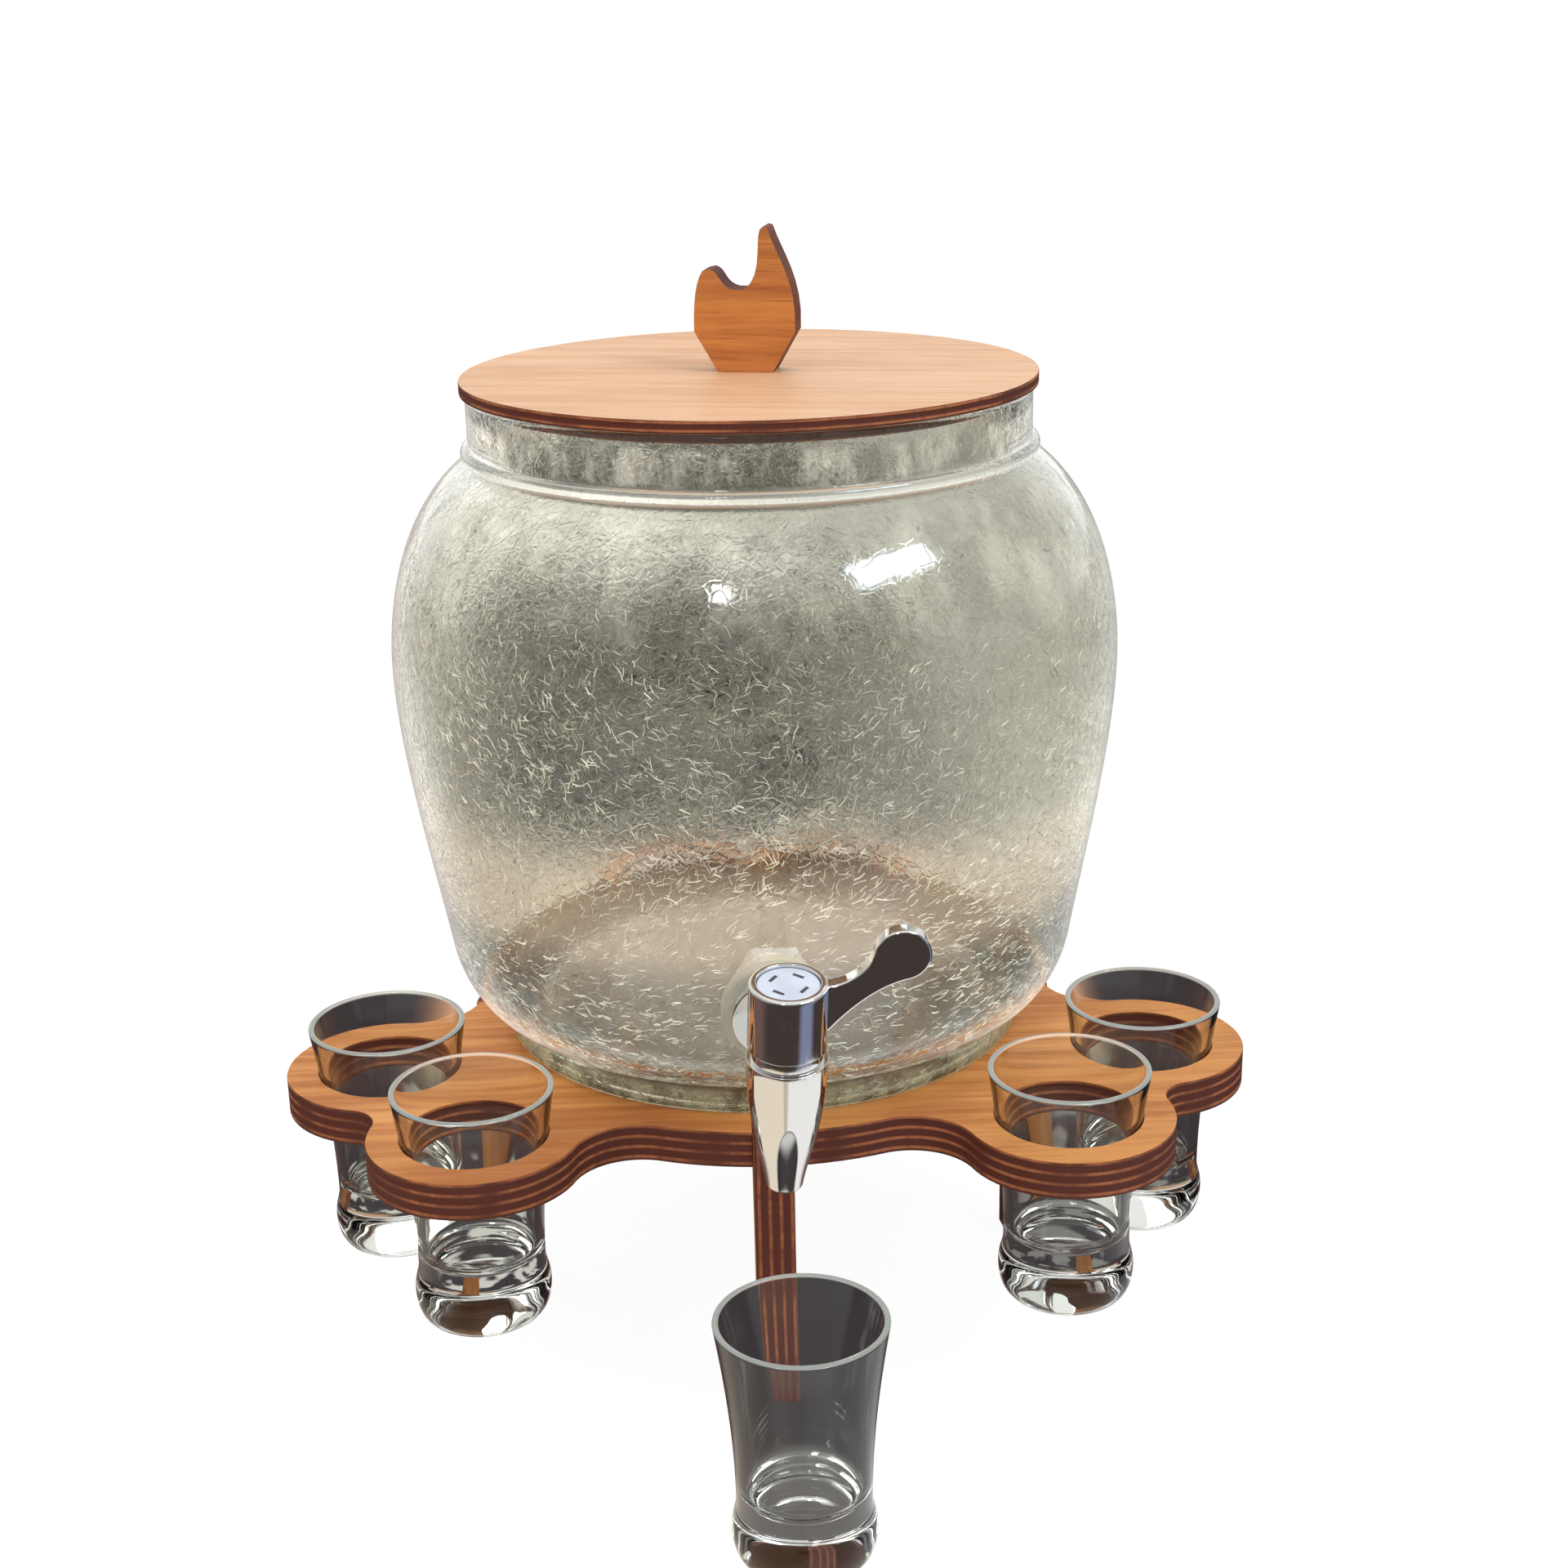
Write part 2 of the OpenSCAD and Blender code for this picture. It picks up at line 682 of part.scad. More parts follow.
module tap_plug_screw() {
    color(chrome) at_tap() union() {
        along_valve(web_top, web_top + screw_head_t, screw_head_d);
        along_valve(drive_top - screw_hole_depth + screw_tip_gap, web_top + small, plug_screw_d);
    }
}

// A thick-based tumbler with a waist, standing on its base
module shot_glass() {
    base = bezier([
        [base_d / 2, 0],
        [base_d / 2 + 0.7 * (bulge_d - base_d) / 2, 0.1 * bulge_z],
        [bulge_d / 2, 0.55 * bulge_z],
        [bulge_d / 2, bulge_z]
    ]);
    throat = bezier([
        [bulge_d / 2, bulge_z],
        [bulge_d / 2, bulge_z + 0.45 * (waist_z - bulge_z)],
        [waist_d / 2, waist_z - 0.45 * (waist_z - bulge_z)],
        [waist_d / 2, waist_z]
    ]);
    low_inner = [waist_d / 2 - low_wall_t, waist_z + low_wall_t];
    rim_inner = [rim_d / 2 - rim_t, glass_h];
    inner = bezier([
        low_inner,
        low_inner + [0, (rim_inner[1] - low_inner[1]) / 3],
        low_inner + [0.44 * (rim_inner[0] - low_inner[0]), 2 * (rim_inner[1] - low_inner[1]) / 3],
        rim_inner
    ], 2 * curve_steps);
    color(clear_glass) rotate_extrude() polygon(concat(
        [[0, 0]], base, onward(throat), onward(glass_flare),
        [for (i = [len(inner) - 1 : -1 : 0]) inner[i]],
        [[low_inner[0] - low_wall_t, base_t], [0, base_t]]
    ));
}

// A shot glass that hangs in the hole at an angle from the front
module hanging_glass(angle) {
    on_jar_axis() translate(concat(polar(lobe_reach, angle), hanging_z)) shot_glass();
}

near_angle = front_pair_angle - pair_angle / 2;
far_angle = front_pair_angle + pair_angle / 2;
back_angle = 180 - pair_angle / 2;

module glass_under_spout() {
    on_jar_axis() translate(front_glass) shot_glass();
}

stand_plate();
leg(0);  // leg_front
leg(-side_leg_angle);  // leg_left
leg(side_leg_angle);  // leg_right
leg(180);  // leg_back
jar();
lid_top_disc();
lid_locating_disc();
lid_knob();
lid_knob_screw();
tap_body();
tap_collar();
tap_outer_gasket();
tap_inner_gasket();
tap_nut();
tap_barrel();
tap_cap();
tap_plug();
tap_plug_rings();
tap_plug_screw();
hanging_glass(-near_angle);  // glass_front_left
hanging_glass(-far_angle);  // glass_side_left
hanging_glass(near_angle);  // glass_front_right
hanging_glass(far_angle);  // glass_side_right
hanging_glass(back_angle);  // glass_back_right
glass_under_spout();
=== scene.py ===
"""Finished looks of a drinks dispenser: a crackle-glass jar with a tap, a plywood stand and shot glasses."""

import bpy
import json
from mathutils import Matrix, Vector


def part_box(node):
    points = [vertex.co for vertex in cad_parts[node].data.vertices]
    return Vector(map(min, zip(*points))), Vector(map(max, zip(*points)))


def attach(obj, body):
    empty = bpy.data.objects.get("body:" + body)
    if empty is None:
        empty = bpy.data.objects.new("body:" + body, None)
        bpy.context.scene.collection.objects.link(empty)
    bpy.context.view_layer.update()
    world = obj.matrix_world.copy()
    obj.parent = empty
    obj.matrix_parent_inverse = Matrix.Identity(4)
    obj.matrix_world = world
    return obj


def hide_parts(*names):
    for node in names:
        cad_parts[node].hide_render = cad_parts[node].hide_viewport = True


bl_info = {
    "name": "Drinks Dispenser",
    "version": (1, 0, 0),
    "blender": (4, 5, 0),
    "location": "View3D > Sidebar > Dispenser",
    "description": "Dresses the drinks dispenser in crackle glass, plywood and chrome",
    "category": "Object",
}

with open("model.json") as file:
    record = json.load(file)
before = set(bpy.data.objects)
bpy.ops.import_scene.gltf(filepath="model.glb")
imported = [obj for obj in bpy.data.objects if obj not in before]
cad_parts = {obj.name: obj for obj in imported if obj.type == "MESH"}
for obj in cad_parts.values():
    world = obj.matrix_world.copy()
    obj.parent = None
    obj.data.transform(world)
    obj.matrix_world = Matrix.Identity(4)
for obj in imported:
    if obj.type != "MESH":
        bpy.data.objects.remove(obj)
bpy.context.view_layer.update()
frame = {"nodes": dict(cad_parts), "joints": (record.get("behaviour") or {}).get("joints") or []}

import json
import math
import random

import bmesh
import bpy
from bpy.props import FloatProperty, FloatVectorProperty, IntProperty, PointerProperty
from mathutils import Matrix, Vector, noise
from mathutils.geometry import interpolate_bezier

# Places taken from the frame
JAR_LOW, JAR_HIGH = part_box("jar")
PLATE_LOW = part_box("stand_plate")[0]
DISC_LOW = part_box("lid_locating_disc")[0]
FRONT_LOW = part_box("glass_under_spout")[0]
JAR_FOOT = Vector(((JAR_LOW.x + JAR_HIGH.x) / 2, (JAR_LOW.y + JAR_HIGH.y) / 2, JAR_LOW.z))
TAP_TURN = next(joint for joint in frame["joints"] if joint["name"] == "tap_turn")
VALVE_POINT = Vector(TAP_TURN["pos_m"])
VALVE_AXIS = Vector(TAP_TURN["axis"])
GLASS_NODES = sorted(name for name in frame["nodes"] if name.startswith("glass_"))
LEG_NODES = sorted(name for name in frame["nodes"] if name.startswith("leg_"))
LID_TURN = math.radians(-12)

SPIN_STEPS = 160
SMALL_SPIN_STEPS = 96
SHARP_ANGLE = math.radians(35)
FLAT_ANGLE = math.radians(0.3)
MERGE_DISTANCE = 1e-6
SENSOR_WIDTH = 36.0
BLACK = (0.0, 0.0, 0.0)
WHITE = (1.0, 1.0, 1.0)

# Levels in the jar's wall
SHOULDER_RISE = (JAR_LOW.z + 0.125, JAR_LOW.z + 0.150)
PATCH_RISE = (JAR_LOW.z + 0.140, JAR_LOW.z + 0.170)
HAZE_BAND = (JAR_LOW.z + 0.046, JAR_LOW.z + 0.064, JAR_LOW.z + 0.074, JAR_LOW.z + 0.104)

# Relief and painted light of the jar's wall
OUTER_RELIEF = 0.22
FOLD_DEPTH = 22.0
PATCH_SHARE = 0.45
BEAD_HIGHLIGHT_SHARE = 0.45
# Share of painted shade on the stand's underside, which darkens its downward faces
UNDERSIDE_SHADE_SHARE = 0.85

# Spread of the cracks, which turn more freely above a height in the jar
CRACK_SEED = 11
CRACK_TURN_HEIGHT = 0.075
RING_CRACKS = 4
CROWD_SCALE = 22
CROWD_OFFSET = Vector((3, 1, 7))
BARE_SHARE = 0.34
CROWD_SHARE = 0.8
SHOULDER_FADE = 13.0
FLOW_SCALE = 14

# Depths on the floor where glass shows a room or a table
UNDER_BAND = (0.05, 0.08, 0.17, 0.21)
TABLE_BAND = (0.10, 0.17, 0.42, 0.50)
GLOOM_BAND = (0.36, 0.48, 1.02, 1.28)
BLOT_BAND = (0.50, 0.70, 1.3, 1.5)

# Directions from the tap, in degrees, and the edge of the table that chrome shows
WINDOW_BAND = (26, 44, 66, 84)
STREAK_BAND = (-18, -9, -4, 5)
TABLE_EDGE = (0.2258, 0.2272)
TABLE_BOW = 0.060
TABLE_TURN = math.radians(8)


# Sizes and colours

def length(description, default):
    """A size in metres."""
    return FloatProperty(description=description, default=default, min=0.0, precision=5, unit="LENGTH")


def colour(description, default):
    """A colour with three parts."""
    return FloatVectorProperty(description=description, default=default, min=0.0, max=1.0, size=3,
                               subtype="COLOR")


def angle(description, degrees):
    """An angle given in degrees."""
    return FloatProperty(description=description, default=math.radians(degrees), subtype="ANGLE")


class JarSettings(bpy.types.PropertyGroup):
    """Sizes and colours of the crackle-glass jar"""
    wall: length("Thickness of the glass wall", 0.004)
    floor: length("Thickness of the glass floor", 0.009)
    kick: length("Depth of the hollow under the jar", 0.003)
    foot_radius: length("Radius of the foot ring", 0.0865)
    foot_height: length("Height of the foot ring", 0.008)
    groove: length("Depth of the groove above the foot ring", 0.0017)
    heel_radius: length("Radius where the rounded heel meets the side", 0.1035)
    heel_height: length("Height where the rounded heel meets the side", 0.032)
    belly_height: length("Height where the jar is widest", 0.127)
    neck_radius: length("Outer radius of the neck", 0.089)
    neck_height: length("Height of the neck above the shoulder", 0.021)
    bead: length("Radius of the bead at the root of the neck", 0.0024)
    tint: colour("Colour of the glass", (0.95, 0.95, 0.91))
    smoke: colour("Colour of the darker patches in the glass", (0.84, 0.84, 0.79))
    # Painted shadow in the groove above the foot
    groove_shade: colour("Tone of the glass in the groove above the foot", (0.035, 0.030, 0.012))
    ring_colour: colour("Tone of the crackled foot ring", (0.165, 0.148, 0.102))
    # Painted glow on the foot ring
    ring_glow: colour("Light that the foot ring throws back", (0.23, 0.215, 0.135))
    patch_dim: colour("Dim patches of the neck and shoulder", (0.50, 0.48, 0.43))
    # Painted glow on pale patches of the neck and shoulder
    patch_glow: colour("Pale patches of the neck and shoulder", (0.34, 0.315, 0.265))
    neck_colour: colour("Tone of the cells in the neck's glass", (0.86, 0.84, 0.78))
    # Painted highlight along the jar's silhouette, where the wall is seen edge-on
    edge_glow: colour("Pale tone of the glass seen along its wall", (0.66, 0.67, 0.65))
    # Painted glow on the lower band of the wall
    haze_glow: colour("Light that the lower wall throws back", (0.24, 0.175, 0.12))
    crack_count: IntProperty(description="Number of cracks in the wall", default=54000, min=0)
    crack_length: length("Usual length of a crack", 0.0027)
    crack_depth: length("How far a crack reaches into the wall", 0.0007)
    crack_colour: colour("Colour of the light that cracks throw back", (0.84, 0.79, 0.65))


class WoodSettings(bpy.types.PropertyGroup):
    """Colours and edges of the plywood pieces"""
    edge_round: length("Rounding of the cut edges", 0.0004)
    ply: length("Thickness of one layer of the thick plywood", 0.0017)
    thin_ply: length("Thickness of one layer of the lid's plywood", 0.0012)
    stand_light: colour("Light grain of the stand", (0.585, 0.238, 0.062))
    stand_dark: colour("Dark grain of the stand", (0.370, 0.118, 0.027))
    lid_light: colour("Light grain of the lid", (0.715, 0.425, 0.245))
    lid_dark: colour("Dark grain of the lid", (0.610, 0.330, 0.178))
    knob_light: colour("Light grain of the knob", (0.66, 0.24, 0.060))
    knob_dark: colour("Dark grain of the knob", (0.37, 0.108, 0.026))
    burnt_light: colour("Light layers of the burnt edges", (0.40, 0.125, 0.045))
    burnt_dark: colour("Dark layers of the burnt edges", (0.095, 0.020, 0.010))
    # Painted shade: the dark tone given to the stand's downward faces
    smoke: colour("Smoke left by the cutting on the stand's underside", (0.040, 0.017, 0.008))


class TapSettings(bpy.types.PropertyGroup):
    """Colours and edges of the tap"""
    edge_round: length("Rounding of the chromed edges", 0.0006)
    rim_round: length("Rounding of the barrel's rim", 0.0013)
    lever_round: length("Rounding of the lever's edges", 0.0016)
    lean: angle("Forward lean of the tap", 9.0)
    roll: angle("Turn of the tap about its shank", 1.5)
    jar_turn: angle("Turn of the jar and its tap away from the front leg", 0.9)
    reach: length("Distance from the jar's wall to the axis of the valve", 0.050)
    barrel_radius: length("Radius of the turning barrel", 0.011)
    barrel_height: length("Height of the turning barrel", 0.0201)
    barrel_level: length("Height of the barrel's lower face above the shank", 0.0203)
    cap_radius: length("Radius of the recess for the cap", 0.00885)
    cap_depth: length("Depth of the recess for the cap", 0.003)
    body_radius: length("Radius of the spout at its top", 0.0114)
    body_top: length("Height of the spout's top above the shank", 0.0166)
    spout_drop: length("Length of the spout below the shank", 0.0265)
    spout_tip_radius: length("Radius of the spout at its tip", 0.00525)
    way_radius: length("Radius of the water way", 0.0035)
    shank_radius: length("Radius of the shank", 0.0075)
    shank_inside: length("Length of the shank behind the wall's outer face", 0.0196)
    flange_radius: length("Radius of the flange", 0.0135)
    flange_start: length("Distance of the flange's back from the wall", 0.0045)
    flange_thickness: length("Thickness of the flange", 0.003)
    lever_reach: length("Distance from the valve to the lever's round end", 0.0305)
    lever_rise: length("Rise of the round end above the barrel", 0.0088)
    lever_end_radius: length("Radius of the lever's round end", 0.0077)
    lever_thickness: length("Thickness of the lever", 0.0048)
    lever_root: length("Height of the lever where it leaves the barrel", 0.0144)
    lever_drop: length("Depth of the lever's root below the barrel's top", 0.0004)
    chrome: colour("Colour of the chrome", (0.80, 0.79, 0.78))
    silicone: colour("Colour of the silicone rings", (0.60, 0.57, 0.46))
    cap: colour("Colour of the cap", (0.64, 0.66, 0.74))
    tick_count: IntProperty(description="Number of plain ticks on the cap", default=4, min=0)
    tick_radius: length("Distance of the ticks from the middle of the cap", 0.0050)
    tick_length: length("Length of a tick", 0.0034)
    tick_width: length("Width of a tick", 0.0010)
    tick_height: length("Height of a tick above the cap", 0.00012)


class GlassSettings(bpy.types.PropertyGroup):
    """Sizes and colours of the shot glasses"""
    waist_radius: length("Radius of the waist above the base", 0.0196)
    waist_height: length("Height of the waist", 0.0195)
    bulge_radius: length("Radius of the rounded base at its widest", 0.0211)
    bulge_height: length("Height of the widest part of the base", 0.010)
    base_radius: length("Radius of the flat under a glass", 0.0165)
    base: length("Thickness of the solid base", 0.018)
    rim: length("Thickness of the wall at the rim", 0.0018)
    low_wall: length("Thickness of the wall just above the base", 0.0028)
    tint: colour("Colour of the glass", (0.95, 0.96, 0.93))
    sheen: colour("Tone of what the clear glass mirrors", (0.30, 0.31, 0.33))
    # Painted highlight given to the rim as a glow
    rim_highlight: colour("Pale tone of the polished rim", (0.78, 0.82, 0.76))


class StageSettings(bpy.types.PropertyGroup):
    """Camera, floor and light"""
    camera_at: FloatVectorProperty(description="Place of the camera", size=3, subtype="XYZ", unit="LENGTH",
                                   default=(-0.015, -0.729, 0.430))
    camera_pitch: angle("How far the camera looks down", 18.75)
    camera_yaw: angle("How far the camera looks to the right", 1.802)
    camera_roll: angle("Turn of the camera about its own axis", -1.14)
    lens: FloatProperty(description="Focal length in millimetres", default=54.47, min=10.0)
    floor_size: length("Width of the floor", 40.0)
    floor_colour: colour("Colour of the floor", (0.78, 0.78, 0.77))
    floor_glow: FloatProperty(description="Share of the floor that is plain white", default=0.90,
                              min=0.0, max=1.0)
    near_colour: colour("Tone of the table that shows through glass", (0.036, 0.030, 0.034))
    warm_colour: colour("Tone of the table right behind the stand", (0.52, 0.25, 0.14))
    moss_colour: colour("Green patches of the table behind the stand", (0.34, 0.34, 0.25))
    room_dark: colour("Dark tone of the room that shows through glass", (0.012, 0.012, 0.010))
    room_light: colour("Light tone of the room that shows through glass", (1.0, 0.98, 0.90))
    chrome_dark: colour("Tone of the room that chrome shows", (0.060, 0.046, 0.041))
    chrome_light: colour("Tone of the table that chrome shows", (1.0, 1.0, 0.98))
    chrome_warm: colour("Tone of the table left of the tap that chrome shows", (0.93, 0.82, 0.66))
    chrome_brown: colour("Tone of the room beside the tap that chrome shows", (0.17, 0.105, 0.095))
    chrome_window: colour("Tone of the window that chrome shows", (0.23, 0.26, 0.40))


# Mesh helpers

def curve(start, leave, arrive, end, points):
    """Points along a smooth curve from start to end, as (radius, height) pairs."""
    return interpolate_bezier(Vector(start), Vector(leave), Vector(arrive), Vector(end), points)


def arc(centre, radius, first, last, points):
    """Points along a round arc, with angles in degrees."""
    turns = [math.radians(first + (last - first) * i / (points - 1)) for i in range(points)]
    return [Vector((centre[0] + radius * math.cos(t), centre[1] + radius * math.sin(t))) for t in turns]


def beside(points, distance):
    """The same run of points moved sideways, to the left of its direction."""
    moved = []
    for i, point in enumerate(points):
        along = points[min(i + 1, len(points) - 1)] - points[max(i - 1, 0)]
        moved.append(point + distance * Vector((-along.y, along.x)).normalized())
    return moved


def spun(outline, foot, steps):
    """A closed solid of revolution about a vertical axis through foot."""
    bm = bmesh.new()
    verts = [bm.verts.new((foot.x + point[0], foot.y, foot.z + point[1])) for point in outline]
    edges = [bm.edges.new(pair) for pair in zip(verts, verts[1:])]
    bmesh.ops.spin(bm, geom=verts + edges, cent=foot, axis=(0, 0, 1), angle=math.tau, steps=steps,
                   use_merge=True)
    bmesh.ops.remove_doubles(bm, verts=bm.verts, dist=MERGE_DISTANCE)
    bmesh.ops.recalc_face_normals(bm, faces=bm.faces)
    return bm


def round_edges(bm, edges, round_by, segments):
    """Rounds some edges of a bmesh."""
    bmesh.ops.bevel(bm, geom=edges, offset=round_by, offset_type="OFFSET", affect="EDGES",
                    segments=segments, profile=0.5, material=-1, clamp_overlap=True)


def eased(node, round_by):
    """A merged copy of a CAD node whose sharp outer edges are rounded."""
    bm = bmesh.new()
    bm.from_mesh(frame["nodes"][node].data)
    bmesh.ops.remove_doubles(bm, verts=bm.verts, dist=MERGE_DISTANCE)
    bmesh.ops.dissolve_limit(bm, angle_limit=FLAT_ANGLE, verts=bm.verts, edges=bm.edges,
                             use_dissolve_boundaries=False, delimit={"NORMAL"})
    sharp = [e for e in bm.edges if e.is_manifold and e.is_convex and e.calc_face_angle() > SHARP_ANGLE]
    round_edges(bm, sharp, round_by, 2)
    return bm


def placed_object(name, data):
    """A new object in the scene."""
    made = bpy.data.objects.new(name, data)
    bpy.context.scene.collection.objects.link(made)
    return made


def mesh_object(bm, name, material):
    """An object made of a bmesh."""
    mesh = bpy.data.meshes.new(name)
    bm.to_mesh(mesh)
    bm.free()
    mesh.materials.append(material)
    return placed_object(name, mesh)


def piece(bm, name, body, material, slot, *nodes):
    """Makes an object of a bmesh, lets it ride on a body and stand for CAD nodes."""
    for face in bm.faces:
        face.smooth = True
    for edge in bm.edges:
        edge.smooth = not (edge.is_manifold and edge.calc_face_angle() > SHARP_ANGLE)
    made = mesh_object(bm, name, material)
    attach(made, body)
    if nodes:
        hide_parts(*nodes)
    return made


def shade_evenly(made):
    """Keeps the flat faces of a piece flat beside its round edges."""
    shading = made.modifiers.new("Even shading", "WEIGHTED_NORMAL")
    shading.keep_sharp = True


def eased_piece(node, body, material, slot, round_by):
    """An eased copy of a CAD node that stands for it, with even shading on its flat faces."""
    shade_evenly(piece(eased(node, round_by), "finished_" + node, body, material, slot, node))


def dress(node, material):
    """Gives a CAD node that stays in view its material."""
    slots = frame["nodes"][node].data.materials
    slots.clear()
    slots.append(material)


# Node helpers

def feed(tree, sockets, values):
    """Feeds sockets with values or with what other nodes give."""
    for key, value in values.items():
        if isinstance(value, bpy.types.NodeSocket):
            tree.links.new(value, sockets[key])
        elif sockets[key].type == "RGBA":
            sockets[key].default_value = (value[0], value[1], value[2], 1.0)
        else:
            sockets[key].default_value = value


def add(tree, kind, inputs=None, **settings):
    """Adds a node, sets its options and feeds its inputs. Hands back what it gives."""
    made = tree.nodes.new("ShaderNode" + kind)
    for name, value in settings.items():
        setattr(made, name, value)
    feed(tree, made.inputs, inputs or {})
    return made.outputs


def dimmed(rgb, share):
    """A darker shade of a colour."""
    return [share * part for part in rgb]


def mixed(tree, factor, first, second, blend="MIX"):
    """Mixes two colours."""
    return add(tree, "Mix", {0: factor, 6: first, 7: second}, data_type="RGBA",
               blend_type=blend)[2]


def blended(tree, factor, first, second):
    """Mixes two values."""
    return add(tree, "Mix", {0: factor, 2: first, 3: second}, data_type="FLOAT")[0]


def split(tree, vector):
    """The three parts of a vector."""
    return add(tree, "SeparateXYZ", {0: vector})


def vector_maths(tree, operation, first, second=(0, 0, 0)):
    """One step of arithmetic with vectors."""
    return add(tree, "VectorMath", {0: first, 1: second}, operation=operation)


def maths(tree, operation, first, second=0.0):
    """One step of arithmetic."""
    return add(tree, "Math", {0: first, 1: second}, operation=operation)[0]


def times(tree, *values):
    """A product of values."""
    product = values[0]
    for value in values[1:]:
        product = maths(tree, "MULTIPLY", product, value)
    return product


def ranged(tree, value, low, high, to_low=0.0, to_high=1.0):
    """A value eased from one range to another."""
    return add(tree, "MapRange",
               {"Value": value, "From Min": low, "From Max": high, "To Min": to_low, "To Max": to_high},
               interpolation_type="SMOOTHSTEP")["Result"]


def zone(tree, value, start, full, fade, end):
    """A mask that rises between start and full, and falls between fade and end."""
    return times(tree, ranged(tree, value, start, full), ranged(tree, value, fade, end, 1.0, 0.0))


def grain_noise(tree, vector, stretch, detail=4.0, roughness=0.6):
    """Noise stretched by a scale along each axis."""
    scaled = vector_maths(tree, "MULTIPLY", vector, stretch)[0]
    return add(tree, "TexNoise",
               {"Vector": scaled, "Scale": 1.0, "Detail": detail, "Roughness": roughness})["Fac"]


def new_group(name, inputs, outputs):
    """An empty node group with named sockets, and its input and output nodes."""
    tree = bpy.data.node_groups.new(name, "ShaderNodeTree")
    for way, sockets in (("INPUT", inputs), ("OUTPUT", outputs)):
        for socket, kind in sockets.items():
            tree.interface.new_socket(socket, in_out=way, socket_type="NodeSocket" + kind)
    return tree, tree.nodes.new("NodeGroupInput").outputs, tree.nodes.new("NodeGroupOutput").inputs


def new_material(name):
    """An empty node material and its tree."""
    material = bpy.data.materials.new(name)
    material.use_nodes = True
    material.node_tree.nodes.clear()
    return material, material.node_tree


def shade(tree, inputs, shadow=None):
    """A Principled shader on the material's output. Glass lets lamps shine through it in a shadow's tone."""
    surface = add(tree, "BsdfPrincipled", inputs)[0]
    if shadow:
        clear = add(tree, "BsdfTransparent", {"Color": shadow})[0]
        in_shadow = add(tree, "LightPath")["Is Shadow Ray"]
        surface = add(tree, "MixShader", {0: in_shadow, 1: surface, 2: clear})[0]
    add(tree, "OutputMaterial", {"Surface": surface})


def bumped(tree, height, strength, distance):
    """A normal that follows a height."""
    return add(tree, "Bump", {"Height": height, "Strength": strength, "Distance": distance})["Normal"]


# Shared effects

def plywood_group():
    """Grain on flat faces and burnt layers on cut edges. Grain runs along X, layers lie across Z."""
    tree, given, result = new_group("Plywood", {
        "Vector": "Vector", "Flatness": "Float", "Ply": "Float", "Light": "Color", "Dark": "Color",
        "Burnt Light": "Color", "Burnt Dark": "Color",
    }, {"Color": "Color", "Roughness": "Float", "Height": "Float"})
    vector = given["Vector"]
    streaks = grain_noise(tree, vector, (14, 210, 120), 5.0, 0.62)
    pores = grain_noise(tree, vector, (45, 1300, 700), 3.0, 0.55)
    clouds = grain_noise(tree, vector, (11, 26, 20), 2.0, 0.5)
    tone = maths(tree, "ADD", times(tree, streaks, 0.62), times(tree, clouds, 0.38))
    face = mixed(tree, ranged(tree, tone, 0.36, 0.64), given["Dark"], given["Light"])
    pore_mask = ranged(tree, pores, 0.58, 0.72, 0.0, 0.45)
    face = mixed(tree, pore_mask, face, given["Dark"], "MULTIPLY")

    across = split(tree, vector)["Z"]
    wobble = grain_noise(tree, vector, (60, 60, 40), 2.0, 0.5)
    layer = maths(tree, "ADD", maths(tree, "DIVIDE", across, given["Ply"]), times(tree, wobble, 0.35))
    wave = maths(tree, "PINGPONG", layer, 1.0)
    burn = grain_noise(tree, vector, (38, 38, 16), 3.0, 0.55)
    fibres = grain_noise(tree, vector, (420, 420, 60), 4.0, 0.65)
    glow = times(tree, ranged(tree, wave, 0.55, 0.88), ranged(tree, burn, 0.36, 0.58, 0.12, 1.0),
                 ranged(tree, fibres, 0.3, 0.6, 0.55, 1.0))
    edge = mixed(tree, glow, given["Burnt Dark"], given["Burnt Light"])

    flat = ranged(tree, given["Flatness"], 0.55, 0.97)
    face_height = maths(tree, "SUBTRACT", streaks, times(tree, pore_mask, 0.8))
    edge_height = times(tree, ranged(tree, wave, 0.3, 0.7), 1.6)
    feed(tree, result, {
        "Color": mixed(tree, flat, edge, face),
        "Roughness": blended(tree, flat, 0.62, ranged(tree, streaks, 0.3, 0.7, 0.52, 0.40)),
        "Height": blended(tree, flat, edge_height, face_height),
    })
    return tree


def smudge_group():
    """Uneven gloss from handling, and a faint unevenness of the surface."""
    tree, given, result = new_group("Smudges", {"Vector": "Vector", "Low": "Float", "High": "Float"},
                                    {"Roughness": "Float", "Height": "Float"})
    vector = given["Vector"]
    patches = grain_noise(tree, vector, (55, 55, 45), 4.0, 0.6)
    scuffs = grain_noise(tree, vector, (900, 900, 260), 2.0, 0.5)
    mask = times(tree, ranged(tree, patches, 0.42, 0.7), ranged(tree, scuffs, 0.25, 0.75))
    feed(tree, result, {
        "Roughness": blended(tree, mask, given["Low"], given["High"]),
        "Height": grain_noise(tree, vector, (90, 90, 60), 1.0, 0.4),
    })
    return tree


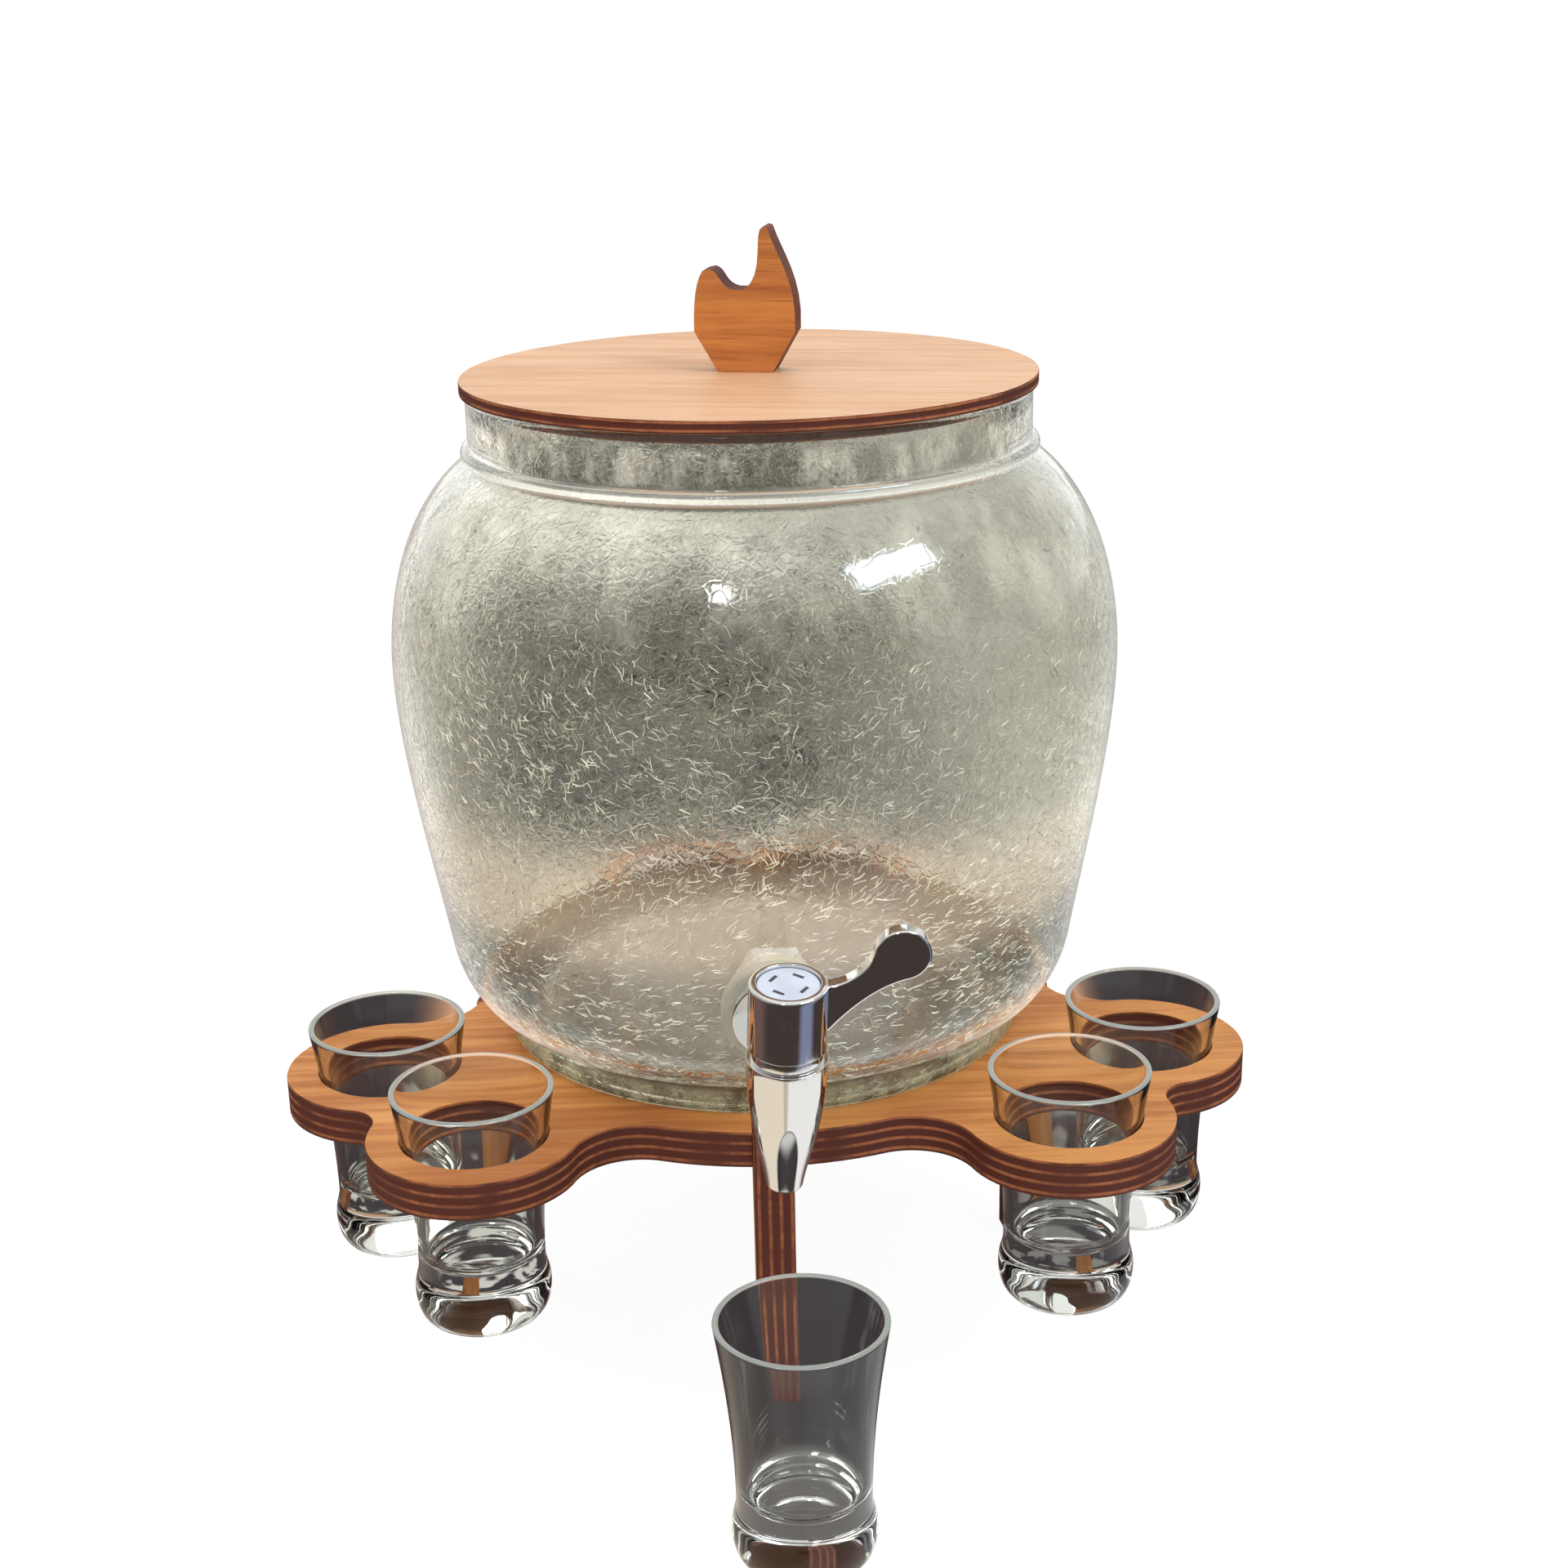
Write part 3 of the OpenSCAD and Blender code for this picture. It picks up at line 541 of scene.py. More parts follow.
def crackle_group():
    """Cells of crackled glass: a mottled tint and a height that breaks up what shows through."""
    tree, given, result = new_group("Crackle", {"Vector": "Vector", "Tint": "Color", "Smoke": "Color"}, {
        "Color": "Color", "Roughness": "Float", "Height": "Float", "Cells": "Float", "Folds": "Float",
    })
    vector = given["Vector"]
    drift = add(tree, "TexNoise", {"Vector": vector, "Scale": 60.0, "Detail": 2.0})["Color"]
    bent = add(tree, "VectorMath", {0: drift, 1: (0.008, 0.008, 0.008), 2: vector},
               operation="MULTIPLY_ADD")[0]
    cells = add(tree, "TexVoronoi", {"Vector": bent, "Scale": 230.0},
                feature="DISTANCE_TO_EDGE")["Distance"]
    facets = add(tree, "TexVoronoi", {"Vector": bent, "Scale": 150.0},
                 feature="F1")["Distance"]
    patches = grain_noise(tree, vector, (21, 21, 17), 4.0, 0.6)
    specks = grain_noise(tree, vector, (170, 170, 210), 3.0, 0.6)
    tone = maths(tree, "ADD", times(tree, patches, 0.65), times(tree, specks, 0.35))
    blocks = grain_noise(tree, bent, (120, 120, 55), 4.0, 0.65)
    feed(tree, result, {
        "Color": mixed(tree, ranged(tree, tone, 0.40, 0.60), given["Smoke"], given["Tint"]),
        "Roughness": ranged(tree, specks, 0.3, 0.7, 0.01, 0.06),
        "Height": maths(tree, "ADD", ranged(tree, cells, 0.0, 0.12), facets),
        "Cells": ranged(tree, blocks, 0.44, 0.62),
        "Folds": grain_noise(tree, vector, (48, 48, 9), 2.0, 0.5),
    })
    return tree


GROUP_MAKERS = {"Plywood": plywood_group, "Smudges": smudge_group, "Crackle": crackle_group}


def shared(tree, name, inputs):
    """Places a shared effect in a material, and builds it the first time."""
    group = bpy.data.node_groups.get(name) or GROUP_MAKERS[name]()
    return add(tree, "Group", inputs, node_tree=group)


def object_coords(tree):
    """Coordinates of a surface, such as those of the piece itself."""
    return add(tree, "TexCoord")


# Materials

def plywood(name, light, dark, ply, turn, origin, under_shade=0.0):
    """Plywood with its grain and layers turned and centred on a piece, and painted shade on its underside."""
    wood = bpy.context.scene.dispenser_wood
    material, tree = new_material(name)
    coords = object_coords(tree)
    placed = add(tree, "Mapping",
                 {"Vector": coords["Object"], "Location": -(turn @ origin), "Rotation": turn.to_euler()})
    layer_axis = turn.transposed() @ Vector((0, 0, 1))
    facing = vector_maths(tree, "DOT_PRODUCT", coords["Normal"], layer_axis)["Value"]
    look = shared(tree, "Plywood", {
        "Vector": placed[0], "Flatness": maths(tree, "ABSOLUTE", facing), "Ply": ply,
        "Light": light, "Dark": dark,
        "Burnt Light": wood.burnt_light, "Burnt Dark": wood.burnt_dark,
    })
    # Painted shade: faces turned downwards are darkened towards a dark tone
    under = ranged(tree, facing, -0.9, -0.6, under_shade, 0.0)
    tone = mixed(tree, under, look["Color"], wood.smoke)
    shade(tree, {"Base Color": tone, "Roughness": look["Roughness"], "Specular IOR Level": 0.28,
                 "Normal": bumped(tree, look["Height"], 0.25, 0.0003)})
    return material


def crackle_glass(jar):
    """Tinted glass whose wall is broken up by cracks, with painted shade in the groove and painted glow on
    its wall.
    """
    material, tree = new_material("crackle_glass")
    coords = object_coords(tree)
    look = shared(tree, "Crackle", {"Vector": coords["Object"], "Tint": jar.tint, "Smoke": jar.smoke})
    outward = vector_maths(tree, "SUBTRACT", coords["Object"], (JAR_FOOT.x, JAR_FOOT.y, 0))[0]
    facing = vector_maths(tree, "DOT_PRODUCT", outward, coords["Normal"])["Value"]
    inside = ranged(tree, facing, -0.01, 0.01, 1.0, OUTER_RELIEF)
    outside = ranged(tree, inside, 0.3, 0.9, 1.0, 0.0)
    near_side = maths(tree, "SUBTRACT", 1.0, add(tree, "NewGeometry")["Backfacing"])

    # Levels in the wall
    level = split(tree, coords["Object"])["Z"]
    neck_root = JAR_HIGH.z - jar.neck_height
    neck_start = neck_root + 2.2 * jar.bead
    groove_start = JAR_LOW.z + jar.foot_height + 0.001
    bead_mid = neck_root + jar.bead
    neck = ranged(tree, level, neck_start - 0.0005, neck_start + 0.0005)
    open_neck = times(tree, neck, ranged(tree, level, DISC_LOW.z - 0.003, DISC_LOW.z, 1.0, 0.0))
    shoulder = zone(tree, level, *SHOULDER_RISE, neck_start - 0.014, neck_start - 0.006)
    patchy = ranged(tree, level, *PATCH_RISE, 0.0, PATCH_SHARE)
    patchy = maths(tree, "MAXIMUM", open_neck, times(tree, shoulder, patchy))
    bead = zone(tree, level, bead_mid - jar.bead, bead_mid - 0.4 * jar.bead,
                bead_mid, bead_mid + 0.6 * jar.bead)
    low = zone(tree, level, *HAZE_BAND)
    groove = zone(tree, level, groove_start, groove_start + 0.0015,
                  groove_start + 0.007, groove_start + 0.011)
    ring = ranged(tree, level, groove_start - 0.002, groove_start - 0.0005, 1.0, 0.0)
    base = ranged(tree, level, groove_start + 0.0003, groove_start + 0.0012, 1.0, 0.0)

    # Tone of what shows through, with a painted shadow in the groove above the foot
    mottle = grain_noise(tree, coords["Object"], (62, 62, 26), 6.0, 0.72)
    dim = times(tree, ranged(tree, mottle, 0.40, 0.52, 0.60, 0.0), patchy)
    tone = mixed(tree, times(tree, neck, look["Cells"]), look["Color"], jar.neck_colour)
    # Painted shadow: the near side of the groove above the foot is darkened almost to black
    tone = mixed(tree, times(tree, groove, near_side, outside), tone, jar.groove_shade)
    tone = mixed(tree, base, tone, jar.ring_colour)
    tone = mixed(tree, dim, tone, jar.patch_dim)

    # Painted light on the wall, given as emission: a glow on the lower band, pale patches on the shoulder, a
    # highlight along the silhouette and the bead, and a glow on the foot ring
    patch = times(tree, ranged(tree, mottle, 0.46, 0.60), patchy, outside)
    haze = mixed(tree, times(tree, low, outside), BLACK, jar.haze_glow)
    haze = mixed(tree, patch, haze, jar.patch_glow)
    turned = add(tree, "LayerWeight", {"Blend": 0.5})["Facing"]
    rim = times(tree, ranged(tree, turned, 0.50, 0.90), outside)
    rim = maths(tree, "MAXIMUM", rim, times(tree, bead, BEAD_HIGHLIGHT_SHARE))
    pale = mixed(tree, rim, haze, jar.edge_glow)
    ring_glow = mixed(tree, look["Cells"], jar.ring_glow, dimmed(jar.ring_glow, 0.25))
    pale = mixed(tree, times(tree, ring, outside), pale, ring_glow)

    folds = times(tree, look["Folds"], FOLD_DEPTH, shoulder, inside)
    height = maths(tree, "ADD", times(tree, look["Height"], inside), folds)
    shade(tree, {"Base Color": tone, "Roughness": look["Roughness"], "IOR": 1.46,
                 "Transmission Weight": 1.0, "Normal": bumped(tree, height, 0.13, 0.0006),
                 "Emission Color": pale, "Emission Strength": 0.5}, (0.97, 0.96, 0.93))
    return material


def crack_light(jar):
    """Thin bright faces of the cracks inside the wall."""
    material, tree = new_material("crack_light")
    coords = object_coords(tree)["Object"]
    sparkle = grain_noise(tree, coords, (260, 260, 260), 2.0, 0.5)
    tone = mixed(tree, ranged(tree, sparkle, 0.35, 0.65), dimmed(jar.crack_colour, 0.42), jar.crack_colour)
    # The cracks' own cream tone, with a faint painted glow in the same tone
    shade(tree, {"Base Color": tone, "Roughness": ranged(tree, sparkle, 0.3, 0.7, 0.45, 0.2),
                 "Emission Color": tone, "Emission Strength": 0.05}, WHITE)
    return material


def clear_glass(glass):
    """Clear glass with a faint green tone, finger marks and a painted highlight on its rim."""
    material, tree = new_material("clear_glass")
    look = shared(tree, "Smudges", {"Vector": object_coords(tree)["Object"], "Low": 0.0, "High": 0.09})
    # Painted highlight: the top ring of the rim glows in a pale tone
    rim = add(tree, "Attribute", None, attribute_name="rim")["Fac"]
    pale = mixed(tree, rim, BLACK, glass.rim_highlight)
    shade(tree, {"Base Color": glass.tint, "Roughness": look["Roughness"], "IOR": 1.5,
                 "Specular Tint": glass.sheen,
                 "Transmission Weight": 1.0, "Normal": bumped(tree, look["Height"], 0.06, 0.0006),
                 "Emission Color": pale, "Emission Strength": 0.45}, (0.85, 0.86, 0.84))
    return material


def polished_metal(name, rgb, low, high):
    """Plated or plain metal with handling marks."""
    material, tree = new_material(name)
    look = shared(tree, "Smudges", {"Vector": object_coords(tree)["Object"], "Low": low, "High": high})
    shade(tree, {"Base Color": rgb, "Metallic": 1.0, "Roughness": look["Roughness"],
                 "Normal": bumped(tree, look["Height"], 0.05, 0.0004)})
    return material


def moulded(name, rgb, roughness, soft=0.0, alpha=1.0):
    """Moulded plastic, silicone or rubber with a fine skin."""
    material, tree = new_material(name)
    coords = object_coords(tree)["Object"]
    skin = grain_noise(tree, coords, (1500, 1500, 1500), 2.0, 0.5)
    cloud = grain_noise(tree, coords, (160, 160, 160), 3.0, 0.55)
    tone = mixed(tree, ranged(tree, cloud, 0.3, 0.7), dimmed(rgb, 0.88), rgb)
    shade(tree, {"Base Color": tone, "Roughness": ranged(tree, cloud, 0.3, 0.7, roughness, roughness + 0.12),
                 "Normal": bumped(tree, skin, 0.08, 0.0001), "Subsurface Weight": soft,
                 "Subsurface Scale": 0.003, "Alpha": alpha})
    return material


# Pieces

class MakeStand(bpy.types.Operator):
    """Plywood plate and legs"""
    bl_idname = "dispenser.make_stand"
    bl_label = "Stand"

    def execute(self, context):
        wood = context.scene.dispenser_wood
        plate = plywood("plate_plywood", wood.stand_light, wood.stand_dark, wood.ply,
                        Matrix.Identity(3), Vector((0, 0, PLATE_LOW.z)), UNDERSIDE_SHADE_SHARE)
        eased_piece("stand_plate", "stand", plate, "stand_wood", wood.edge_round)
        for node in LEG_NODES:
            low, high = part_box(node)
            middle = (low + high) / 2 - JAR_FOOT
            turn = math.atan2(middle.x, -middle.y)
            upright = Matrix.Rotation(math.radians(90), 3, "Y") @ Matrix.Rotation(-turn, 3, "Z")
            leg = plywood(node + "_plywood", wood.stand_light, wood.stand_dark, wood.ply, upright, JAR_FOOT)
            eased_piece(node, "stand", leg, "stand_wood", wood.edge_round)
        return {"FINISHED"}


def jar_side(jar):
    """Outer side of the jar, from the groove above its foot to the root of its neck."""
    belly_radius = (JAR_HIGH.x - JAR_LOW.x) / 2
    neck_start = JAR_HIGH.z - JAR_LOW.z - jar.neck_height
    heel_start = Vector((jar.foot_radius - jar.groove, jar.foot_height + jar.groove))
    heel_end = Vector((jar.heel_radius, jar.heel_height))
    belly = Vector((belly_radius, jar.belly_height))
    shoulder_end = Vector((jar.neck_radius + jar.bead / 2, neck_start))
    side_pull = Vector((0.0055, 0.032))
    heel = curve(heel_start, heel_start + Vector((0.011, 0.001)),
                 heel_end - 0.009 * side_pull.normalized(), heel_end, 14)
    side = curve(heel_end, heel_end + side_pull, belly - Vector((0, 0.027)), belly, 22)
    shoulder = curve(belly, belly + Vector((0, 0.018)), shoulder_end + Vector((0.022, -0.015)),
                     shoulder_end, 20)
    return heel + side[1:] + shoulder[1:]


class MakeJar(bpy.types.Operator):
    """Crackle-glass jar"""
    bl_idname = "dispenser.make_jar"
    bl_label = "Jar"

    def execute(self, context):
        jar = context.scene.dispenser_jar
        height = JAR_HIGH.z - JAR_LOW.z
        neck_start = height - jar.neck_height
        inner_radius = jar.neck_radius - jar.wall
        edge = jar.wall / 2
        foot_round = 0.002
        kick_radius = jar.foot_radius - 3 * jar.wall
        side = jar_side(jar)
        under = [(0, jar.kick)] + curve(
            (kick_radius - jar.kick, jar.kick), (kick_radius, jar.kick),
            (kick_radius, 0), (kick_radius + jar.kick, 0), 8)
        foot = arc((jar.foot_radius - foot_round, foot_round), foot_round, -90, 0, 6) + curve(
            (jar.foot_radius, jar.foot_height - 0.002), (jar.foot_radius, jar.foot_height),
            (jar.foot_radius - jar.groove, jar.foot_height),
            (jar.foot_radius - jar.groove, jar.foot_height + jar.groove / 2), 6)
        bead = arc((jar.neck_radius, neck_start + jar.bead), jar.bead, -35, 80, 9)
        neck_outside = [(jar.neck_radius, neck_start + 2.3 * jar.bead)]
        rim = arc((jar.neck_radius - edge, height - edge), edge, 0, 180, 9)
        inner_side = [point for point in beside(side, jar.wall)
                      if point.y < jar.belly_height or point.x > inner_radius + 0.001]
        inner_neck = curve((inner_radius, neck_start + 2 * jar.bead), (inner_radius, neck_start - 0.001),
                           inner_side[-1] + Vector((-0.002, 0.0015)), inner_side[-1], 6)
        inner_heel = curve(inner_side[0], inner_side[0] - Vector((0.005, 0.003)),
                           (inner_side[0].x - 0.012, jar.floor), (inner_side[0].x - 0.022, jar.floor), 8)
        outline = (under + foot + side + bead + neck_outside + rim + inner_neck
                   + inner_side[-2::-1] + inner_heel[1:] + [(0, jar.floor)])
        piece(spun(outline, JAR_FOOT, SPIN_STEPS), "finished_jar", "jar", crackle_glass(jar),
              "crackle_glass", "jar")
        return {"FINISHED"}


class MakeCracks(bpy.types.Operator):
    """Short bright cracks inside the jar's wall"""
    bl_idname = "dispenser.make_cracks"
    bl_label = "Cracks"

    def execute(self, context):
        jar = context.scene.dispenser_jar
        draw = random.Random(CRACK_SEED)
        height = JAR_HIGH.z - JAR_LOW.z
        neck_top = Vector((jar.neck_radius, height - 0.006))
        neck_root = Vector((jar.neck_radius, height - jar.neck_height + 2.5 * jar.bead))
        shoulder_start = jar.belly_height + 0.012
        skin = jar_side(jar)[1:] + [neck_root, neck_root.lerp(neck_top, 0.5), neck_top]
        ring_low = Vector((jar.foot_radius, 0.0015))
        ring_high = Vector((jar.foot_radius, jar.foot_height - 0.0015))
        pairs = list(zip(skin, skin[1:])) + [(ring_low, ring_high)]
        runs = [(a, b, (b - a).length * (a.x + b.x)) for a, b in pairs]
        weights = [run[2] for run in runs]
        weights[-1] *= RING_CRACKS
        bm = bmesh.new()
        inward = bm.verts.layers.float_vector.new("inward")
        for low, high, _ in draw.choices(runs, weights, k=jar.crack_count):
            at = low.lerp(high, draw.random())
            turn = draw.uniform(0, math.tau)
            out = Vector((math.cos(turn), math.sin(turn), 0))
            around = Vector((-out.y, out.x, 0))
            rise = (high - low).normalized()
            up = out * rise.x + Vector((0, 0, rise.y))
            normal = out * rise.y - Vector((0, 0, rise.x))
            middle = JAR_FOOT + out * at.x + Vector((0, 0, at.y))
            crowd = noise.noise(middle * CROWD_SCALE + CROWD_OFFSET)
            bare = BARE_SHARE - CROWD_SHARE * crowd + SHOULDER_FADE * max(0.0, at.y - shoulder_start)
            if draw.random() < bare:
                continue
            upper = min(1.0, max(0.0, (at.y - CRACK_TURN_HEIGHT) / 0.03))
            flow = 0.25 + (1.3 + upper) * noise.noise(middle * FLOW_SCALE) + draw.gauss(0, 0.38 + 0.5 * upper)
            along = around * math.cos(flow) + up * math.sin(flow)
            across = up * math.cos(flow) - around * math.sin(flow)
            reach = jar.crack_length * draw.uniform(0.3, 0.9)
            bend = across * reach * draw.uniform(-0.25, 0.25)
            start = middle - normal * draw.uniform(0.0003, 0.0012)
            depth = jar.crack_depth * draw.uniform(0.6, 1.0)
            tilt = (0.60 - 0.28 * upper) * draw.uniform(-1.0, 1.0)
            lean = -normal * depth + across * depth * tilt
            places = (start - along * reach, start + bend, start + along * reach)
            verts = [bm.verts.new(point) for point in places]
            for vert in verts:
                vert[inward] = lean
            bm.edges.new(verts[:2])
            bm.edges.new(verts[1:])
        grown = bmesh.ops.extrude_edge_only(bm, edges=bm.edges[:])["geom"]
        for vert in (part for part in grown if isinstance(part, bmesh.types.BMVert)):
            vert.co += vert[inward]
        bm.verts.layers.float_vector.remove(inward)
        piece(bm, "jar_cracks", "jar", crack_light(jar), "crackle_glass")
        return {"FINISHED"}


class MakeLid(bpy.types.Operator):
    """Plywood lid, its knob and its screw"""
    bl_idname = "dispenser.make_lid"
    bl_label = "Lid"

    def execute(self, context):
        wood = context.scene.dispenser_wood
        flat_turn = Matrix.Rotation(-LID_TURN, 3, "Z")
        upright = Matrix.Rotation(math.radians(90), 3, "X") @ flat_turn
        rim = Vector((JAR_FOOT.x, JAR_FOOT.y, JAR_HIGH.z))
        disc = plywood("lid_plywood", wood.lid_light, wood.lid_dark, wood.thin_ply, flat_turn, rim)
        eased_piece("lid_top_disc", "lid", disc, "lid_wood", wood.edge_round)
        eased_piece("lid_locating_disc", "lid", disc, "lid_wood", wood.edge_round)
        knob = plywood("knob_plywood", wood.knob_light, wood.knob_dark, wood.ply, upright, rim)
        eased_piece("lid_knob", "lid", knob, "knob_wood", wood.edge_round)
        dress("lid_knob_screw", polished_metal("steel", (0.55, 0.55, 0.56), 0.2, 0.4))
        return {"FINISHED"}


def tap_seat(tap):
    """Turn and place of the tap: X along the shut lever, Z along the valve, zero at the shank's level."""
    turn = (Matrix.Rotation(tap.jar_turn, 4, "Z") @ Matrix.Rotation(tap.lean, 4, "X")
            @ Matrix.Rotation(tap.roll, 4, "Y"))
    return Matrix.Translation(VALVE_POINT) @ turn @ Matrix.Translation((0, 0, -tap.barrel_level))


def barrel_shape(tap):
    """The barrel with a round rim and a recess for its cap, and the lever with round edges."""
    low = tap.barrel_level
    top = low + tap.barrel_height
    edge = tap.edge_round / 2
    outline = ([(0, low)] + arc((tap.barrel_radius - edge, low + edge), edge, -90, 0, 5)
               + arc((tap.barrel_radius - tap.rim_round, top - tap.rim_round), tap.rim_round, 0, 90, 8)
               + arc((tap.cap_radius + edge, top - edge), edge, 90, 180, 4)
               + [(tap.cap_radius, top - tap.cap_depth), (0, top - tap.cap_depth)])
    bm = spun(outline, Vector(), SMALL_SPIN_STEPS)

    root = 0.9 * tap.barrel_radius
    root_top = top - tap.lever_drop
    root_low = root_top - tap.lever_root
    end = Vector((tap.lever_reach, top + tap.lever_rise))
    size = tap.lever_end_radius
    under_start = Vector((tap.barrel_radius, root_low))
    over_end = Vector((tap.barrel_radius, root_top))
    under = curve(under_start, under_start + Vector((0.0056, 0.007)), end + size * Vector((-0.8, -1.2)),
                  end + size * Vector((0.3, -0.954)), 16)
    over = curve(end + size * Vector((-0.98, 0.2)), end + size * Vector((-1.1, -0.5)),
                 over_end + Vector((0.006, 0.0009)), over_end, 16)
    flat = [Vector((root, root_low))] + under + arc(end, size, -72.5, 168.5, 40)[1:-1] + over
    flat.append(Vector((root, root_top)))
    front = [bm.verts.new((p.x, -tap.lever_thickness / 2, p.y)) for p in flat]
    face = bm.faces.new(front)
    grown = bmesh.ops.extrude_face_region(bm, geom=[face], use_keep_orig=True)["geom"]
    back = [part for part in grown if isinstance(part, bmesh.types.BMVert)]
    bmesh.ops.translate(bm, vec=(0, tap.lever_thickness, 0), verts=back)
    bmesh.ops.recalc_face_normals(bm, faces=bm.faces)
    lever = set(front + back)
    rounded = [e for e in bm.edges if e.verts[0] in lever and e.calc_face_angle(0) > SHARP_ANGLE
               and abs(e.verts[0].co.y - e.verts[1].co.y) < MERGE_DISTANCE]
    round_edges(bm, rounded, tap.lever_round, 4)
    return bm


def body_shape(tap):
    """The spout, hollow at its tip, with the shank and its flange."""
    tip = -tap.spout_drop
    size = tap.body_radius - tap.spout_tip_radius
    edge = tap.edge_round
    lip = (tap.spout_tip_radius - tap.way_radius) / 2
    top_edge = lip / 4
    bore_end = tip + 0.012
    side = curve((tap.spout_tip_radius, tip + lip),
                 (tap.spout_tip_radius + 0.2 * size, 0.64 * tip),
                 (tap.spout_tip_radius + 0.925 * size, 0.19 * tip),
                 (tap.body_radius, 0.85 * tap.body_top), 24)
    outline = ([(0, bore_end), (tap.way_radius, bore_end)]
               + arc((tap.way_radius + lip, tip + lip), lip, 180, 350, 9) + side
               + arc((tap.body_radius - top_edge, tap.body_top - top_edge), top_edge, 0, 90, 5)
               + [(0, tap.body_top)])
    bm = spun(outline, Vector(), SMALL_SPIN_STEPS)

    back = tap.reach - tap.flange_start
    start = back - tap.flange_thickness
    bar = ([(0, 0), (tap.shank_radius, 0)]
           + arc((tap.shank_radius + edge, start - edge), edge, 180, 90, 4)
           + arc((tap.flange_radius - edge, start + edge), edge, -90, 0, 5)
           + arc((tap.flange_radius - edge, back - edge), edge, 0, 90, 5)
           + [(tap.shank_radius, back), (tap.shank_radius, tap.reach + tap.shank_inside),
              (0, tap.reach + tap.shank_inside)])
    shank = spun(bar, Vector(), SMALL_SPIN_STEPS)
    bmesh.ops.rotate(shank, cent=(0, 0, 0), matrix=Matrix.Rotation(math.radians(-90), 3, "X"),
                     verts=shank.verts)
    loose = bpy.data.meshes.new("shank")
    shank.to_mesh(loose)
    shank.free()
    bm.from_mesh(loose)
    bpy.data.meshes.remove(loose)
    return bm


class MakeTap(bpy.types.Operator):
    """Tap with its valve, seals and cap"""
    bl_idname = "dispenser.make_tap"
    bl_label = "Tap"

    def execute(self, context):
        tap = context.scene.dispenser_tap
        chrome = polished_metal("chrome", tap.chrome, 0.035, 0.16)
        seat = tap_seat(tap)
        for node, body, bm in (("tap_body", "jar", body_shape(tap)),
                               ("tap_barrel", "tap_handle", barrel_shape(tap))):
            bmesh.ops.transform(bm, matrix=seat, verts=bm.verts)
            shade_evenly(piece(bm, "finished_" + node, body, chrome, "chrome", node))
        eased_piece("tap_collar", "jar", chrome, "chrome", tap.edge_round / 4)
        silicone = moulded("silicone", tap.silicone, 0.38, 0.35, 0.42)
        for node in ("tap_outer_gasket", "tap_inner_gasket"):
            eased_piece(node, "jar", silicone, "silicone", tap.edge_round)
        plastic = moulded("white_plastic", (0.80, 0.80, 0.82), 0.35, 0.0, 0.35)
        eased_piece("tap_nut", "jar", plastic, "white_plastic", tap.edge_round)
        cap = moulded("cap_plastic", tap.cap, 0.28)
        eased_piece("tap_cap", "tap_handle", cap, "cap_plastic", tap.edge_round)
        dress("tap_plug", plastic)
        dress("tap_plug_rings", moulded("black_rubber", (0.02, 0.02, 0.02), 0.6))
        dress("tap_plug_screw", bpy.data.materials["steel"])
        self.make_ticks(tap)
        return {"FINISHED"}

    def make_ticks(self, tap):
        """A ring of plain ticks, moulded on the cap."""
        cap = frame["nodes"]["tap_cap"].data
        top = max((vert.co - VALVE_POINT).dot(VALVE_AXIS) for vert in cap.vertices)
        lean = VALVE_AXIS.to_track_quat("Z", "Y").to_matrix().to_4x4()
        seat = Matrix.Translation(VALVE_POINT + VALVE_AXIS * top) @ lean
        bm = bmesh.new()
        for i in range(tap.tick_count):
            turn = Matrix.Rotation(math.tau * (i + 0.5) / tap.tick_count, 4, "Z")
            place = seat @ turn @ Matrix.Translation((tap.tick_radius, 0, tap.tick_height / 2))
            size = Matrix.Diagonal((tap.tick_width, tap.tick_length, tap.tick_height, 1))
            bmesh.ops.create_cube(bm, size=1.0, matrix=place @ size)
        round_edges(bm, bm.edges[:], tap.tick_height / 4, 1)
        paint = moulded("tick_paint", (0.06, 0.06, 0.08), 0.45)
        piece(bm, "tap_cap_ticks", "tap_handle", paint, "cap_plastic")


def glass_outline(glass, height, rim_radius):
    """Outline of a shot glass from the middle of its foot, over its rim, to the middle of its floor."""
    waist = Vector((glass.waist_radius, glass.waist_height))
    bulge = Vector((glass.bulge_radius, glass.bulge_height))
    flare = rim_radius - glass.waist_radius
    climb = height - glass.waist_height
    edge = glass.rim / 2
    foot = [(0, 0.0012), (0.6 * glass.base_radius, 0.0009)]
    foot += arc((glass.base_radius - 0.001, 0.001), 0.001, -110, -60, 4)
    base = curve((glass.base_radius, 0.0003),
                 (glass.base_radius + 0.7 * (bulge.x - glass.base_radius), 0.1 * bulge.y),
                 (bulge.x, 0.55 * bulge.y), bulge, 10)
    pull = Vector((0, 0.45 * (waist.y - bulge.y)))
    throat = curve(bulge, bulge + pull, waist - pull, waist, 10)
    side = curve(waist, waist + Vector((0, climb / 3)), waist + Vector((0.44 * flare, 2 * climb / 3)),
                 (rim_radius, height - edge), 20)
    side.insert(-1, side[-2].lerp(side[-1], 0.85))
    rim = arc((rim_radius - edge, height - edge), edge, 0, 180, 9)
    low = Vector((waist.x - glass.low_wall, waist.y + 2 * glass.low_wall))
    top = Vector((rim_radius - glass.rim, height - edge))
    inside = curve(top, low + Vector((0.44 * (top.x - low.x), 2 * (top.y - low.y) / 3)),
                   low + Vector((0, (top.y - low.y) / 3)), low, 20)
    inside.insert(1, inside[0].lerp(inside[1], 0.15))
    bowl = curve(low, low - Vector((0, 0.0045)), (0.55 * low.x, glass.base), (0, glass.base), 12)
    return foot + base[1:] + throat[1:] + side[1:] + rim[1:] + inside[1:] + bowl[1:]


